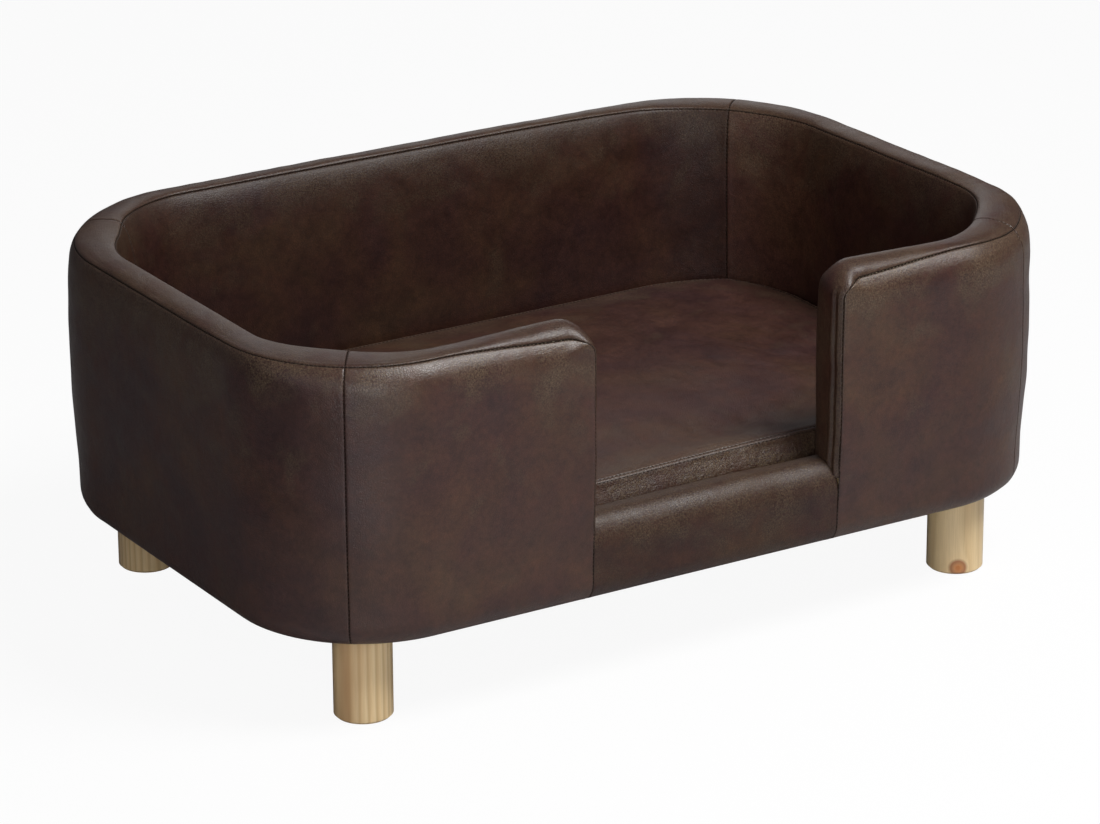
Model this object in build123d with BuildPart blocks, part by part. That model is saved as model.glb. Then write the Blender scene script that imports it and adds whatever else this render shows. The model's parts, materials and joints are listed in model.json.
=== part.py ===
from build123d import *
from math import cos, radians, sin
import os

# A low sofa bed for a dog: a leather covered tub with a front opening, on four round legs,
# with a loose box cushion inside. The origin is on the floor under the middle of the bed,
# X runs along the front, Y to the back, Z up. All sizes are millimetres.

# The whole bed, over the leather
overall_length = 970.0
overall_depth = 645.0
rim_height = 402.0
front_corner = 158.0
back_corner = 178.0

# Legs
leg_height = 100.0
leg_diameter = 62.0
leg_inset_x = 110.0
leg_inset_y = 81.5
leg_foot_chamfer = 2.5
leg_top_chamfer = 1.0

# Walls, over the leather on both sides
arm_wall = 49.0
side_wall = 51.0
back_wall = 47.0
inner_front_corner = 128.0
inner_back_corner = 145.0
rim_round = 14.0
bottom_round = 26.0
rim_seam_inset = 8.0

# The way in at the front, between the two arms and over the sill
opening_width = 302.0
opening_centre = 11.0
arm_end_round = 36.0
sill_height = 188.0
sill_front_round = 21.0
sill_back_round = 13.0
sill_tuck = 22.0

# Upholstery layers
leather = 1.2
side_foam = 10.0
top_foam = 15.0
hem_reach = 40.0
front_seam_angle = 51.0
back_seam_angle = 46.0

# Timber and board inside
base_board_thickness = 15.0
base_board_bevel = 12.5
skin_board = 3.0
top_rail_height = 12.0
post_length = 40.0
back_post_inset = 206.0
back_post_count = 4
side_post_inset = 217.5
arm_post_inset = 205.0

# Fasteners
bolt_diameter = 8.0
bolt_in_leg = 40.0
bolt_end_gap = 2.0
tee_nut_flange = 20.0
tee_nut_flange_thickness = 1.5
tee_nut_barrel = 10.4
tee_nut_barrel_length = 10.0
screw_diameter = 4.0
screw_head = 8.0
screw_head_height = 2.4
screw_length = 38.0
screw_recess = 8.0

# The cushion
cushion_gap = 2.0
cushion_seat_gap = 0.3
cushion_border = 73.0
cushion_crown = 12.0
cushion_draw = 4.0
cushion_foot_inset = 5.0
cushion_foot_height = 7.0
cushion_seam_inset = 2.5
cushion_waist_inset = 0.8
cushion_corner_share = 0.55
crown_inset_shares = (0.0, 0.07, 0.24, 0.6)
crown_height_shares = (0.0, 0.45, 0.8, 1.0)
crown_reach = 215.0

# The zip in the rear border of the cushion
zip_length = 470.0
zip_window = 11.0
zip_pocket_height = 18.0
zip_pocket_margin = 8.0
zip_tape_thickness = 1.0
zip_coil_height = 3.4
zip_coil_depth = 1.6
slider_length = 9.0
slider_height = 8.0
slider_depth = 3.1
slider_clearance = 0.3
pull_length = 16.0
pull_height = 6.0
pull_thickness = 1.0
slider_start_inset = 9.0

# One overrun serves every cut that has to pass right through
overrun = 60.0

half_length = overall_length / 2
half_depth = overall_depth / 2
opening_left = opening_centre - opening_width / 2
opening_right = opening_centre + opening_width / 2
inner_half_length = half_length - side_wall
inner_front = -half_depth + arm_wall
inner_back = half_depth - back_wall
body_bottom = leg_height
board_bottom = body_bottom + leather
board_top = board_bottom + base_board_thickness
deck = board_top + leather
frame_top = rim_height - leather - top_foam
core_inset = leather + side_foam
board_inset = core_inset + skin_board
sill_core_top = sill_height - leather - top_foam
joint_height = sill_height - sill_front_round - leather
whole_height = rim_height + overrun


def outer_plan(inset):
    # The plan of the bed with everything moved in by the inset
    with BuildSketch(mode=Mode.PRIVATE) as plan:
        Rectangle(overall_length - 2 * inset, overall_depth - 2 * inset)
        fillet(plan.vertices().group_by(Axis.Y)[0], front_corner - inset)
        fillet(plan.vertices().group_by(Axis.Y)[-1], back_corner - inset)
    return plan.sketch


def inner_plan(outset):
    # The plan of the space inside the walls, grown into the walls by the outset
    with BuildSketch(mode=Mode.PRIVATE) as plan:
        with Locations((0, (inner_front + inner_back) / 2)):
            Rectangle(2 * (inner_half_length + outset), inner_back - inner_front + 2 * outset)
        fillet(plan.vertices().group_by(Axis.Y)[0], inner_front_corner + outset)
        fillet(plan.vertices().group_by(Axis.Y)[-1], inner_back_corner + outset)
    return plan.sketch


def prism(plan, low, high):
    # A plan drawn up from one height to another
    with BuildPart(mode=Mode.PRIVATE) as block:
        with BuildSketch(Plane.XY.offset(low)):
            add(plan)
        extrude(amount=high - low)
    return block.part


def opening_block(grow, low, high):
    # The space between the arms, widened into the arms by grow
    with BuildPart(mode=Mode.PRIVATE) as block:
        with BuildSketch(Plane.XY.offset(low)):
            with Locations((opening_centre, -half_depth)):
                Rectangle(opening_width + 2 * grow, 2 * (arm_wall + overrun))
        extrude(amount=high - low)
    return block.part


def tub_form(inset):
    # The padded tub with all its rounded edges, moved in by the inset on every side
    with BuildPart(mode=Mode.PRIVATE) as walls:
        with BuildSketch(Plane.XY.offset(joint_height)):
            add(outer_plan(inset))
            add(inner_plan(inset), mode=Mode.SUBTRACT)
            with Locations((opening_centre, -half_depth)):
                Rectangle(opening_width + 2 * inset, 2 * (arm_wall + overrun), mode=Mode.SUBTRACT)
        extrude(amount=rim_height - inset - joint_height)
        end_edges = walls.edges().filter_by(Axis.Y).group_by(Axis.Z)[-1]
        end_edges = end_edges.filter_by(lambda edge: edge.center().Y < inner_front + overrun)
        end_edges = end_edges.filter_by(lambda edge: abs(edge.center().X) < opening_width)
        fillet(end_edges, arm_end_round - inset)
        back_edges = walls.edges().filter_by(Axis.X).group_by(Axis.Z)[-1].sort_by(Axis.Y)
        fillet(back_edges[-2:], rim_round - inset)
    with BuildPart(mode=Mode.PRIVATE) as sill:
        with BuildSketch(Plane.YZ.offset(opening_left - inset - sill_tuck)) as profile:
            with Locations((-half_depth + inset, body_bottom + bottom_round)):
                Rectangle(
                    arm_wall - 2 * inset,
                    sill_height - inset - body_bottom - bottom_round,
                    align=Align.MIN,
                )
            top_corners = profile.vertices().group_by(Axis.Y)[-1].sort_by(Axis.X)
            fillet(top_corners[0], sill_front_round - inset)
            fillet(profile.vertices().group_by(Axis.Y)[-1].sort_by(Axis.X)[-1], sill_back_round - inset)
        extrude(amount=opening_width + 2 * (inset + sill_tuck))
    with BuildPart(mode=Mode.PRIVATE) as tub:
        with BuildSketch(Plane.XY.offset(body_bottom + inset)):
            add(outer_plan(inset))
        extrude(amount=joint_height - body_bottom - inset)
        fillet(tub.edges().group_by(Axis.Z)[0], bottom_round - inset)
        add(prism(inner_plan(inset), deck - inset, whole_height), mode=Mode.SUBTRACT)
        add(walls.part)
        add(sill.part)
    return tub.part


def corner_point(side_x, side_y, radius, angle, reach):
    # A point on the line of a corner seam, measured from the centre of the plan's corner
    centre_x = half_length - radius
    centre_y = half_depth - radius
    turn = radians(angle)
    return (side_x * (centre_x + reach * cos(turn)), side_y * (centre_y + reach * sin(turn)))


# The seams at the four plan corners cut the covers, foam and boards into five stretches of wall.
# Each runs from the centre of the corner's curve out through the wall.
front_seam = front_corner + 2 * overrun
back_seam = back_corner + 2 * overrun
front_left_out = corner_point(-1, -1, front_corner, front_seam_angle, front_seam)
front_left_in = corner_point(-1, -1, front_corner, front_seam_angle, 0)
front_right_out = corner_point(1, -1, front_corner, front_seam_angle, front_seam)
front_right_in = corner_point(1, -1, front_corner, front_seam_angle, 0)
back_left_out = corner_point(-1, 1, back_corner, back_seam_angle, back_seam)
back_left_in = corner_point(-1, 1, back_corner, back_seam_angle, 0)
back_right_out = corner_point(1, 1, back_corner, back_seam_angle, back_seam)
back_right_in = corner_point(1, 1, back_corner, back_seam_angle, 0)
stretches = {
    "left": (front_left_out, front_left_in, back_left_in, back_left_out),
    "back": (back_left_out, back_left_in, back_right_in, back_right_out),
    "right": (front_right_out, front_right_in, back_right_in, back_right_out),
    "front_left": (
        front_left_out,
        front_left_in,
        (opening_left, front_left_in[1]),
        (opening_left, front_left_out[1]),
    ),
    "front_right": (
        front_right_out,
        front_right_in,
        (opening_right, front_right_in[1]),
        (opening_right, front_right_out[1]),
    ),
    "sill": (
        (opening_left, front_left_in[1]),
        (opening_right, front_left_in[1]),
        (opening_right, front_left_out[1]),
        (opening_left, front_left_out[1]),
    ),
}
wall_stretches = [name for name in stretches if name != "sill"]


def stretch_block(name):
    # The tall block of space that holds one stretch of wall
    with BuildPart(mode=Mode.PRIVATE) as block:
        with BuildSketch():
            with BuildLine():
                Polyline(*stretches[name], close=True)
            make_face()
        extrude(amount=whole_height)
    return block.part


def save(part, name):
    part.label = name
    export_step(part, f"parts/{name}.step")


os.makedirs("parts", exist_ok=True)
blocks = {name: stretch_block(name) for name in stretches}
leather_form = tub_form(0)
foam_form = tub_form(leather)

# Places of the legs and of the posts in the walls
leg_x = half_length - leg_inset_x
leg_y = half_depth - leg_inset_y
leg_places = {
    "leg_front_left": (-leg_x, -leg_y),
    "leg_front_right": (leg_x, -leg_y),
    "leg_back_left": (-leg_x, leg_y),
    "leg_back_right": (leg_x, leg_y),
}
post_places = []
back_post_spacing = 2 * (half_length - back_post_inset) / (back_post_count - 1)
for number in range(back_post_count):
    post_x = (number - (back_post_count - 1) / 2) * back_post_spacing
    post_places.append((post_x, half_depth - back_wall / 2))
for side in (-1, 1):
    for end in (-1, 1):
        side_post_y = half_depth - side_post_inset
        post_places.append((side * (half_length - side_wall / 2), end * side_post_y))
arm_line = -half_depth + arm_wall / 2
post_places.append((-half_length + arm_post_inset, arm_line))
post_places.append((opening_left - core_inset - post_length / 2, arm_line))
post_places.append((opening_right + core_inset + post_length / 2, arm_line))
post_places.append((half_length - arm_post_inset, arm_line))

# Base board: plywood deck, its lower edge bevelled so that the padding rolls under it
with BuildPart() as board_blank:
    with BuildSketch(Plane.XY.offset(board_bottom)):
        add(outer_plan(board_inset))
    extrude(amount=base_board_thickness)
    chamfer(board_blank.edges().group_by(Axis.Z)[0], base_board_bevel)
with BuildPart() as base_board:
    add(board_blank.part)
    with Locations(Plane.XY.offset(board_top)):
        with Locations(*leg_places.values()):
            CounterBoreHole(tee_nut_barrel / 2, tee_nut_flange / 2, tee_nut_flange_thickness)
    with Locations(Plane.XY.offset(board_bottom)):
        with Locations(*post_places):
            Cylinder(
                screw_head / 2,
                screw_recess,
                align=(Align.CENTER, Align.CENTER, Align.MIN),
                mode=Mode.SUBTRACT,
            )
    with Locations(Plane.XY.offset(board_bottom + screw_recess)):
        with Locations(*post_places):
            Cylinder(
                screw_diameter / 2,
                base_board_thickness,
                align=(Align.CENTER, Align.CENTER, Align.MIN),
                mode=Mode.SUBTRACT,
            )
            Cone(
                screw_head / 2,
                screw_diameter / 2,
                screw_head_height,
                align=(Align.CENTER, Align.CENTER, Align.MIN),
                mode=Mode.SUBTRACT,
            )
save(base_board.part, "base_board")

# Legs: turned pine, a small chamfer round the foot, each with a pilot hole for its bolt
for name, place in leg_places.items():
    with BuildPart() as leg:
        with BuildSketch():
            with Locations(place):
                Circle(leg_diameter / 2)
        extrude(amount=leg_height)
        chamfer(leg.edges().group_by(Axis.Z)[0], leg_foot_chamfer)
        chamfer(leg.edges().group_by(Axis.Z)[-1], leg_top_chamfer)
        with Locations(Plane.XY.offset(leg_height)):
            with Locations(place):
                Hole(bolt_diameter / 2, bolt_in_leg)
    save(leg.part, name)

# Hanger bolts: one in the top of each leg, up through the tee nut in the board
with BuildPart() as hanger_bolts:
    with BuildSketch(Plane.XY.offset(leg_height - bolt_in_leg)):
        with Locations(*leg_places.values()):
            Circle(bolt_diameter / 2)
    extrude(amount=board_top - bolt_end_gap - leg_height + bolt_in_leg)
save(hanger_bolts.part, "hanger_bolts")

# Tee nuts: flange flush with the top of the board, barrel in the board
with BuildPart() as tee_nuts:
    with BuildSketch(Plane.XY.offset(board_top - tee_nut_flange_thickness)):
        with Locations(*leg_places.values()):
            Circle(tee_nut_flange / 2)
    extrude(amount=tee_nut_flange_thickness)
    with BuildSketch(Plane.XY.offset(board_top - tee_nut_barrel_length)):
        with Locations(*leg_places.values()):
            Circle(tee_nut_barrel / 2)
    extrude(amount=tee_nut_barrel_length)
    with Locations(Plane.XY.offset(board_top)):
        with Locations(*leg_places.values()):
            Hole(bolt_diameter / 2)
save(tee_nuts.part, "tee_nuts")

# The room that the timber and boards take inside the foam
with BuildPart() as wall_core:
    add(prism(outer_plan(core_inset), board_bottom + base_board_bevel, frame_top))
    add(prism(inner_plan(core_inset), board_top, whole_height), mode=Mode.SUBTRACT)
    add(opening_block(core_inset, sill_core_top, whole_height), mode=Mode.SUBTRACT)
with BuildPart() as hollow_core:
    add(wall_core.part)
    add(board_blank.part)

# Posts: short blocks that stand on the base board between the two skins of board
with BuildPart() as wall_posts:
    with BuildSketch(Plane.XY.offset(board_top)):
        add(outer_plan(board_inset))
        add(inner_plan(board_inset), mode=Mode.SUBTRACT)
    extrude(amount=frame_top - top_rail_height - board_top)
    with BuildSketch(Plane.XY.offset(board_top)):
        with Locations(*post_places[:back_post_count]):
            Rectangle(post_length, back_wall)
        with Locations(*post_places[back_post_count:-4]):
            Rectangle(side_wall, post_length)
        with Locations(*post_places[-4:]):
            Rectangle(post_length, arm_wall)
    extrude(amount=frame_top - board_top, mode=Mode.INTERSECT)
    with Locations(Plane.XY.offset(board_top)):
        with Locations(*post_places):
            Cylinder(
                screw_diameter / 2,
                screw_recess + screw_length - base_board_thickness,
                align=(Align.CENTER, Align.CENTER, Align.MIN),
                mode=Mode.SUBTRACT,
            )
    with Locations(Plane.XY.offset(frame_top - top_rail_height)):
        with Locations(*post_places):
            Cylinder(
                screw_diameter / 2,
                screw_length - top_rail_height,
                align=(Align.CENTER, Align.CENTER, Align.MAX),
                mode=Mode.SUBTRACT,
            )
save(wall_posts.part, "wall_posts")

# Frame screws: one up through the board and one down through the top rail into each post
with BuildPart() as frame_screws:
    with Locations(Plane.XY.offset(board_bottom + screw_recess)):
        with Locations(*post_places):
            Cylinder(screw_diameter / 2, screw_length, align=(Align.CENTER, Align.CENTER, Align.MIN))
            Cone(
                screw_head / 2,
                screw_diameter / 2,
                screw_head_height,
                align=(Align.CENTER, Align.CENTER, Align.MIN),
            )
    with Locations(Plane.XY.offset(frame_top)):
        with Locations(*post_places):
            Cylinder(screw_diameter / 2, screw_length, align=(Align.CENTER, Align.CENTER, Align.MAX))
            Cone(
                screw_diameter / 2,
                screw_head / 2,
                screw_head_height,
                align=(Align.CENTER, Align.CENTER, Align.MAX),
            )
save(frame_screws.part, "frame_screws")

# Sill rail: a solid batten across the way in, between the end posts of the arms
with BuildPart() as sill_rail:
    add(prism(outer_plan(core_inset), board_top, sill_core_top))
    add(prism(inner_plan(core_inset), 0, whole_height), mode=Mode.SUBTRACT)
    add(opening_block(core_inset, 0, whole_height), mode=Mode.INTERSECT)
save(sill_rail.part, "sill_rail")

# Top rails and the two skins of bent board, stretch by stretch
for name in wall_stretches:
    with BuildPart() as top_rail:
        add(prism(outer_plan(board_inset), frame_top - top_rail_height, frame_top))
        add(prism(inner_plan(board_inset), 0, whole_height), mode=Mode.SUBTRACT)
        add(opening_block(core_inset, 0, whole_height), mode=Mode.SUBTRACT)
        add(blocks[name], mode=Mode.INTERSECT)
        add(frame_screws.part, mode=Mode.SUBTRACT)
    save(top_rail.part, f"top_rail_{name}")
    with BuildPart() as outer_board:
        add(prism(outer_plan(core_inset), board_bottom + base_board_bevel, frame_top))
        add(prism(outer_plan(board_inset), 0, whole_height), mode=Mode.SUBTRACT)
        add(opening_block(core_inset, 0, whole_height), mode=Mode.SUBTRACT)
        add(blocks[name], mode=Mode.INTERSECT)
    save(outer_board.part, f"outer_board_{name}")
    with BuildPart() as inner_board:
        add(prism(inner_plan(board_inset), board_top, frame_top))
        add(prism(inner_plan(core_inset), 0, whole_height), mode=Mode.SUBTRACT)
        add(opening_block(core_inset, 0, whole_height), mode=Mode.SUBTRACT)
        add(blocks[name], mode=Mode.INTERSECT)
    save(inner_board.part, f"inner_board_{name}")

# Foam: wraps over each stretch of wall and over the sill, meeting at the corner seams
for name in stretches:
    with BuildPart() as foam:
        add(foam_form)
        add(hollow_core.part, mode=Mode.SUBTRACT)
        add(blocks[name], mode=Mode.INTERSECT)
    save(foam.part, f"foam_{name}")

# Leather: one skin over the foam, cut apart along its seams
with BuildPart() as skin:
    add(leather_form)
    add(foam_form, mode=Mode.SUBTRACT)

# Dust cover: the cloth under the base board, inside the turned leather hem
with BuildPart() as dust_cover:
    add(skin.part)
    add(prism(outer_plan(hem_reach), 0, board_bottom), mode=Mode.INTERSECT)
    add(hanger_bolts.part, mode=Mode.SUBTRACT)
save(dust_cover.part, "dust_cover")

# Deck lining: the cloth on the base board, under the cushion
with BuildPart() as deck_lining:
    add(skin.part)
    add(prism(inner_plan(leather), board_top, deck), mode=Mode.INTERSECT)
save(deck_lining.part, "deck_lining")

# Sill cover: front, top and back of the sill in one panel, between the arms
with BuildPart() as sill_cover:
    add(skin.part)
    add(blocks["sill"], mode=Mode.INTERSECT)
    add(prism(outer_plan(hem_reach), 0, board_bottom), mode=Mode.SUBTRACT)
    add(prism(inner_plan(leather), board_top - leather, deck), mode=Mode.SUBTRACT)
save(sill_cover.part, "sill_cover")

for name in wall_stretches:
    # Rim band: the strip between the two stitched seams, which turns down the arm ends
    with BuildPart() as rim_band:
        add(skin.part)
        add(blocks[name], mode=Mode.INTERSECT)
        add(prism(outer_plan(rim_seam_inset), joint_height, whole_height), mode=Mode.INTERSECT)
        add(prism(inner_plan(rim_seam_inset), 0, whole_height), mode=Mode.SUBTRACT)
    save(rim_band.part, f"rim_band_{name}")
    # Outer cover: from the outer rim seam down, under the rounded edge, to the hem
    with BuildPart() as outer_cover:
        add(skin.part)
        add(blocks[name], mode=Mode.INTERSECT)
        add(prism(outer_plan(rim_seam_inset), body_bottom + bottom_round, whole_height), mode=Mode.SUBTRACT)
        add(prism(outer_plan(hem_reach), 0, board_bottom), mode=Mode.SUBTRACT)
        add(prism(inner_plan(leather), board_bottom, whole_height), mode=Mode.SUBTRACT)
    save(outer_cover.part, f"outer_cover_{name}")
    # Inner cover: from the inner rim seam down to the deck
    with BuildPart() as inner_cover:
        add(skin.part)
        add(blocks[name], mode=Mode.INTERSECT)
        add(prism(inner_plan(rim_seam_inset), deck, whole_height), mode=Mode.INTERSECT)
    save(inner_cover.part, f"inner_cover_{name}")

# The cushion lies loose on the deck lining
cushion_bottom = deck + cushion_seat_gap
cushion_seam = cushion_bottom + cushion_border


def cushion_section(height, inset):
    # One level outline of the cushion: round corners, sides drawn in between them
    half_x = inner_half_length - cushion_gap - inset
    low_y = inner_front + cushion_gap + inset
    high_y = inner_back - cushion_gap - inset
    front_radius = inner_front_corner - cushion_gap - cushion_corner_share * inset
    back_radius = inner_back_corner - cushion_gap - cushion_corner_share * inset
    front_y = low_y + front_radius
    back_y = high_y - back_radius
    front_x = half_x - front_radius
    back_x = half_x - back_radius
    slant = sin(radians(45))
    with BuildSketch(Plane.XY.offset(height)) as section:
        with BuildLine():
            ThreePointArc((-front_x, low_y), (0, low_y + cushion_draw), (front_x, low_y))
            ThreePointArc(
                (front_x, low_y),
                (front_x + front_radius * slant, front_y - front_radius * slant),
                (half_x, front_y),
            )
            ThreePointArc((half_x, front_y), (half_x - cushion_draw, (front_y + back_y) / 2), (half_x, back_y))
            ThreePointArc(
                (half_x, back_y),
                (back_x + back_radius * slant, back_y + back_radius * slant),
                (back_x, high_y),
            )
            ThreePointArc((back_x, high_y), (0, high_y - cushion_draw), (-back_x, high_y))
            ThreePointArc(
                (-back_x, high_y),
                (-back_x - back_radius * slant, back_y + back_radius * slant),
                (-half_x, back_y),
            )
            ThreePointArc((-half_x, back_y), (-half_x + cushion_draw, (front_y + back_y) / 2), (-half_x, front_y))
            ThreePointArc(
                (-half_x, front_y),
                (-front_x - front_radius * slant, front_y - front_radius * slant),
                (-front_x, low_y),
            )
        make_face()
    return section.sketch


def cushion_body(inset):
    # The lower part of the cushion up to its top seam, moved in by the inset
    sections = [
        cushion_section(cushion_bottom + inset, cushion_foot_inset + inset),
        cushion_section(cushion_bottom + cushion_foot_height, inset),
        cushion_section((cushion_bottom + cushion_seam) / 2, cushion_waist_inset + inset),
        cushion_section(cushion_seam, cushion_seam_inset + inset),
    ]
    with BuildPart(mode=Mode.PRIVATE) as body:
        loft(sections, ruled=True)
    return body.part


def cushion_dome(inset):
    # The crown of the cushion above its top seam, moved in by the inset
    sections = []
    for inset_share, height_share in zip(crown_inset_shares, crown_height_shares):
        height = cushion_seam + height_share * (cushion_crown - inset)
        sections.append(cushion_section(height, cushion_seam_inset + inset + inset_share * crown_reach))
    with BuildPart(mode=Mode.PRIVATE) as dome:
        loft(sections)
    return dome.part


# Zip: set in a window of the rear border, with a pocket behind it in the foam
zip_height = (cushion_bottom + cushion_seam) / 2
zip_face = inner_back - cushion_gap - cushion_seam_inset - cushion_draw - leather
zip_floor = zip_face - zip_tape_thickness
border_reach = inner_back - zip_floor + overrun


def zip_bar(length, height, front, depth):
    # A level bar along the zip, from its front face outwards to the back of the bed
    with BuildPart(Plane.XY.offset(zip_height), mode=Mode.PRIVATE) as bar:
        with Locations((0, front, 0)):
            Box(length, depth, height, align=(Align.CENTER, Align.MIN, Align.CENTER))
    return bar.part


# Cushion core: the foam block
with BuildPart() as cushion_core:
    add(cushion_body(leather))
    add(cushion_dome(leather))
    add(
        zip_bar(zip_length + 2 * zip_pocket_margin, zip_pocket_height, zip_floor, border_reach),
        mode=Mode.SUBTRACT,
    )
save(cushion_core.part, "cushion_core")

# Cushion top: the crowned leather panel above the seam
with BuildPart() as cushion_top:
    add(cushion_dome(0))
    add(cushion_dome(leather), mode=Mode.SUBTRACT)
save(cushion_top.part, "cushion_top")

# Cushion border: the leather wall round the cushion, with the window for the zip
with BuildPart() as cushion_side:
    add(cushion_body(0))
    add(cushion_body(leather), mode=Mode.SUBTRACT)
    add(prism(outer_plan(0), 0, cushion_bottom + leather), mode=Mode.SUBTRACT)
    add(zip_bar(zip_length, zip_window, zip_floor, border_reach), mode=Mode.SUBTRACT)
save(cushion_side.part, "cushion_border")

# Cushion bottom: the flat panel under the core
with BuildPart() as cushion_base:
    add(cushion_body(0))
    add(prism(outer_plan(0), 0, cushion_bottom + leather), mode=Mode.INTERSECT)
save(cushion_base.part, "cushion_bottom")

# Zip tapes: a strip of woven tape above and one below the coil
tape_height = (zip_pocket_height - zip_coil_height) / 2
with BuildPart(Plane.XY.offset(zip_height)) as zip_tapes:
    with Locations((0, zip_floor, zip_coil_height / 2)):
        Box(zip_length, zip_tape_thickness, tape_height, align=(Align.CENTER, Align.MIN, Align.MIN))
    with Locations((0, zip_floor, -zip_coil_height / 2)):
        Box(zip_length, zip_tape_thickness, tape_height, align=(Align.CENTER, Align.MIN, Align.MAX))
save(zip_tapes.part, "zip_tapes")

# Zip coil: the closed teeth, from the floor of the pocket outwards
coil_depth = zip_tape_thickness + zip_coil_depth
save(zip_bar(zip_length, zip_coil_height, zip_floor, coil_depth), "zip_coil")

# Zip slider: a saddle over the coil, which runs along it
slider_x = zip_length / 2 - slider_start_inset - slider_length / 2
slot_height = zip_coil_height + 2 * slider_clearance
slot_depth = zip_coil_depth + slider_clearance
slider_front = zip_face + slider_clearance
with BuildPart(Plane.XY.offset(zip_height)) as zip_slider:
    with Locations((slider_x, slider_front, 0)):
        Box(slider_length, slider_depth, slider_height, align=(Align.CENTER, Align.MIN, Align.CENTER))
        Box(
            slider_length + overrun,
            slot_depth,
            slot_height,
            align=(Align.CENTER, Align.MIN, Align.CENTER),
            mode=Mode.SUBTRACT,
        )
save(zip_slider.part, "zip_slider")

# Pull tab: lies along the coil, flat in the window, because the wall is close behind it
pull_back = slider_front + slider_depth
with BuildPart(Plane.XY.offset(zip_height)) as zip_pull:
    with Locations((slider_x - slider_length / 2, pull_back, 0)):
        Box(pull_length, pull_thickness, pull_height, align=(Align.MAX, Align.MAX, Align.CENTER))
    fillet(zip_pull.edges().filter_by(Axis.Y).group_by(Axis.X)[0], pull_height / 3)
save(zip_pull.part, "zip_pull")
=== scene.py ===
import bpy
import json
import math
import numpy as np
from mathutils import Matrix


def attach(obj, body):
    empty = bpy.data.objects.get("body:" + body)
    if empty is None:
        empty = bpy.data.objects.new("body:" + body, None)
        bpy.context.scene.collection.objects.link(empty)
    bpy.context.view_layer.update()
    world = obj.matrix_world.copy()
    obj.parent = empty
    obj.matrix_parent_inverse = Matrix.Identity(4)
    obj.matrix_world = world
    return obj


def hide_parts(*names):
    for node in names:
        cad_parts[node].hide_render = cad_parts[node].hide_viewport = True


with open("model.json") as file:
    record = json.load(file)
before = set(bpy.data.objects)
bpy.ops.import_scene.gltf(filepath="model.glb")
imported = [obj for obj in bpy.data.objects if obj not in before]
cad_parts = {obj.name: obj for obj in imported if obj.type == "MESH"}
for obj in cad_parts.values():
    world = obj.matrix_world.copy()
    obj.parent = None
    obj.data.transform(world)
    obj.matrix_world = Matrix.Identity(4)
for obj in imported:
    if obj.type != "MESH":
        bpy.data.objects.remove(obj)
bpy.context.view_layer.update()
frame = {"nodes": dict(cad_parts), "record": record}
scene = bpy.context.scene


# Camera: a long lens from the left front, a little above the rim, as the bed was photographed.
# Its place, its aim and its slight roll are in metres and degrees in the bed's own frame.
def unit(vectors):
    # The same directions, one long
    return vectors / np.maximum(np.linalg.norm(vectors, axis=-1, keepdims=True), 1e-9)


def standing(place, across, up, back):
    # A place, and the directions in which an object's own three axes point there
    return Matrix.Translation(place) @ Matrix((across, up, back)).transposed().to_4x4()


eye = np.array([-2.61588, -4.23086, 2.03620])
aim = np.array([0.12872, 0.20669, 0.08775])
roll = math.radians(-0.29)
look = unit(aim - eye)
level = unit(np.cross(look, (0, 0, 1)))
upright = np.cross(level, look)
right = level * math.cos(roll) + upright * math.sin(roll)
above = upright * math.cos(roll) - level * math.sin(roll)
lens = bpy.data.cameras.new("camera")
lens.lens = 159.2
lens.sensor_width = 36
lens.sensor_fit = "HORIZONTAL"
lens.clip_end = 60
camera = bpy.data.objects.new("camera", lens)
camera.matrix_world = standing(eye, right, above, -look)
scene.collection.objects.link(camera)
scene.camera = camera
scene.view_settings.view_transform = "Standard"


# Studio: a white seamless floor that keeps a soft shadow, and large soft lamps round the bed.
# The camera sees floor and surround as white. For everything else they are dull, and the floor
# is grey as painted shade, darkest to the left of the bed, so that the leather keeps its dark sides.
def empty_tree(owner):
    # The shader tree of a material or a world, cleared
    owner.use_nodes = True
    owner.node_tree.nodes.clear()
    return owner.node_tree


def node(tree, kind, inputs=None, **settings):
    # A shader node with its settings made and its inputs set, or linked where a socket is given
    made = tree.nodes.new(kind)
    for key, value in settings.items():
        setattr(made, key, value)
    for key, value in (inputs or {}).items():
        if isinstance(value, bpy.types.NodeSocket):
            tree.links.new(value, made.inputs[key])
        else:
            made.inputs[key].default_value = value
    return made


def math_node(tree, operation, *values):
    return node(tree, "ShaderNodeMath", dict(enumerate(values)), operation=operation).outputs[0]


def own_place(tree):
    # Where a point lies in the object's own frame, in metres
    return node(tree, "ShaderNodeTexCoord").outputs["Object"]


def seen_white(tree):
    # One for the camera, also through something clear, and none for light and reflections
    path = node(tree, "ShaderNodeLightPath").outputs
    return math_node(tree, "MAXIMUM", path["Is Camera Ray"], path["Is Transmission Ray"])


world = bpy.data.worlds.new("studio")
scene.world = world
tree = empty_tree(world)
dim = node(tree, "ShaderNodeBackground", {"Color": (0.93, 0.88, 1.0, 1), "Strength": 0.10})
white = node(tree, "ShaderNodeBackground", {"Color": (1, 1, 1, 1), "Strength": 1.0})
both = node(tree, "ShaderNodeMixShader", {0: seen_white(tree), 1: dim.outputs[0], 2: white.outputs[0]})
node(tree, "ShaderNodeOutputWorld", {"Surface": both.outputs[0]})

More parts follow.
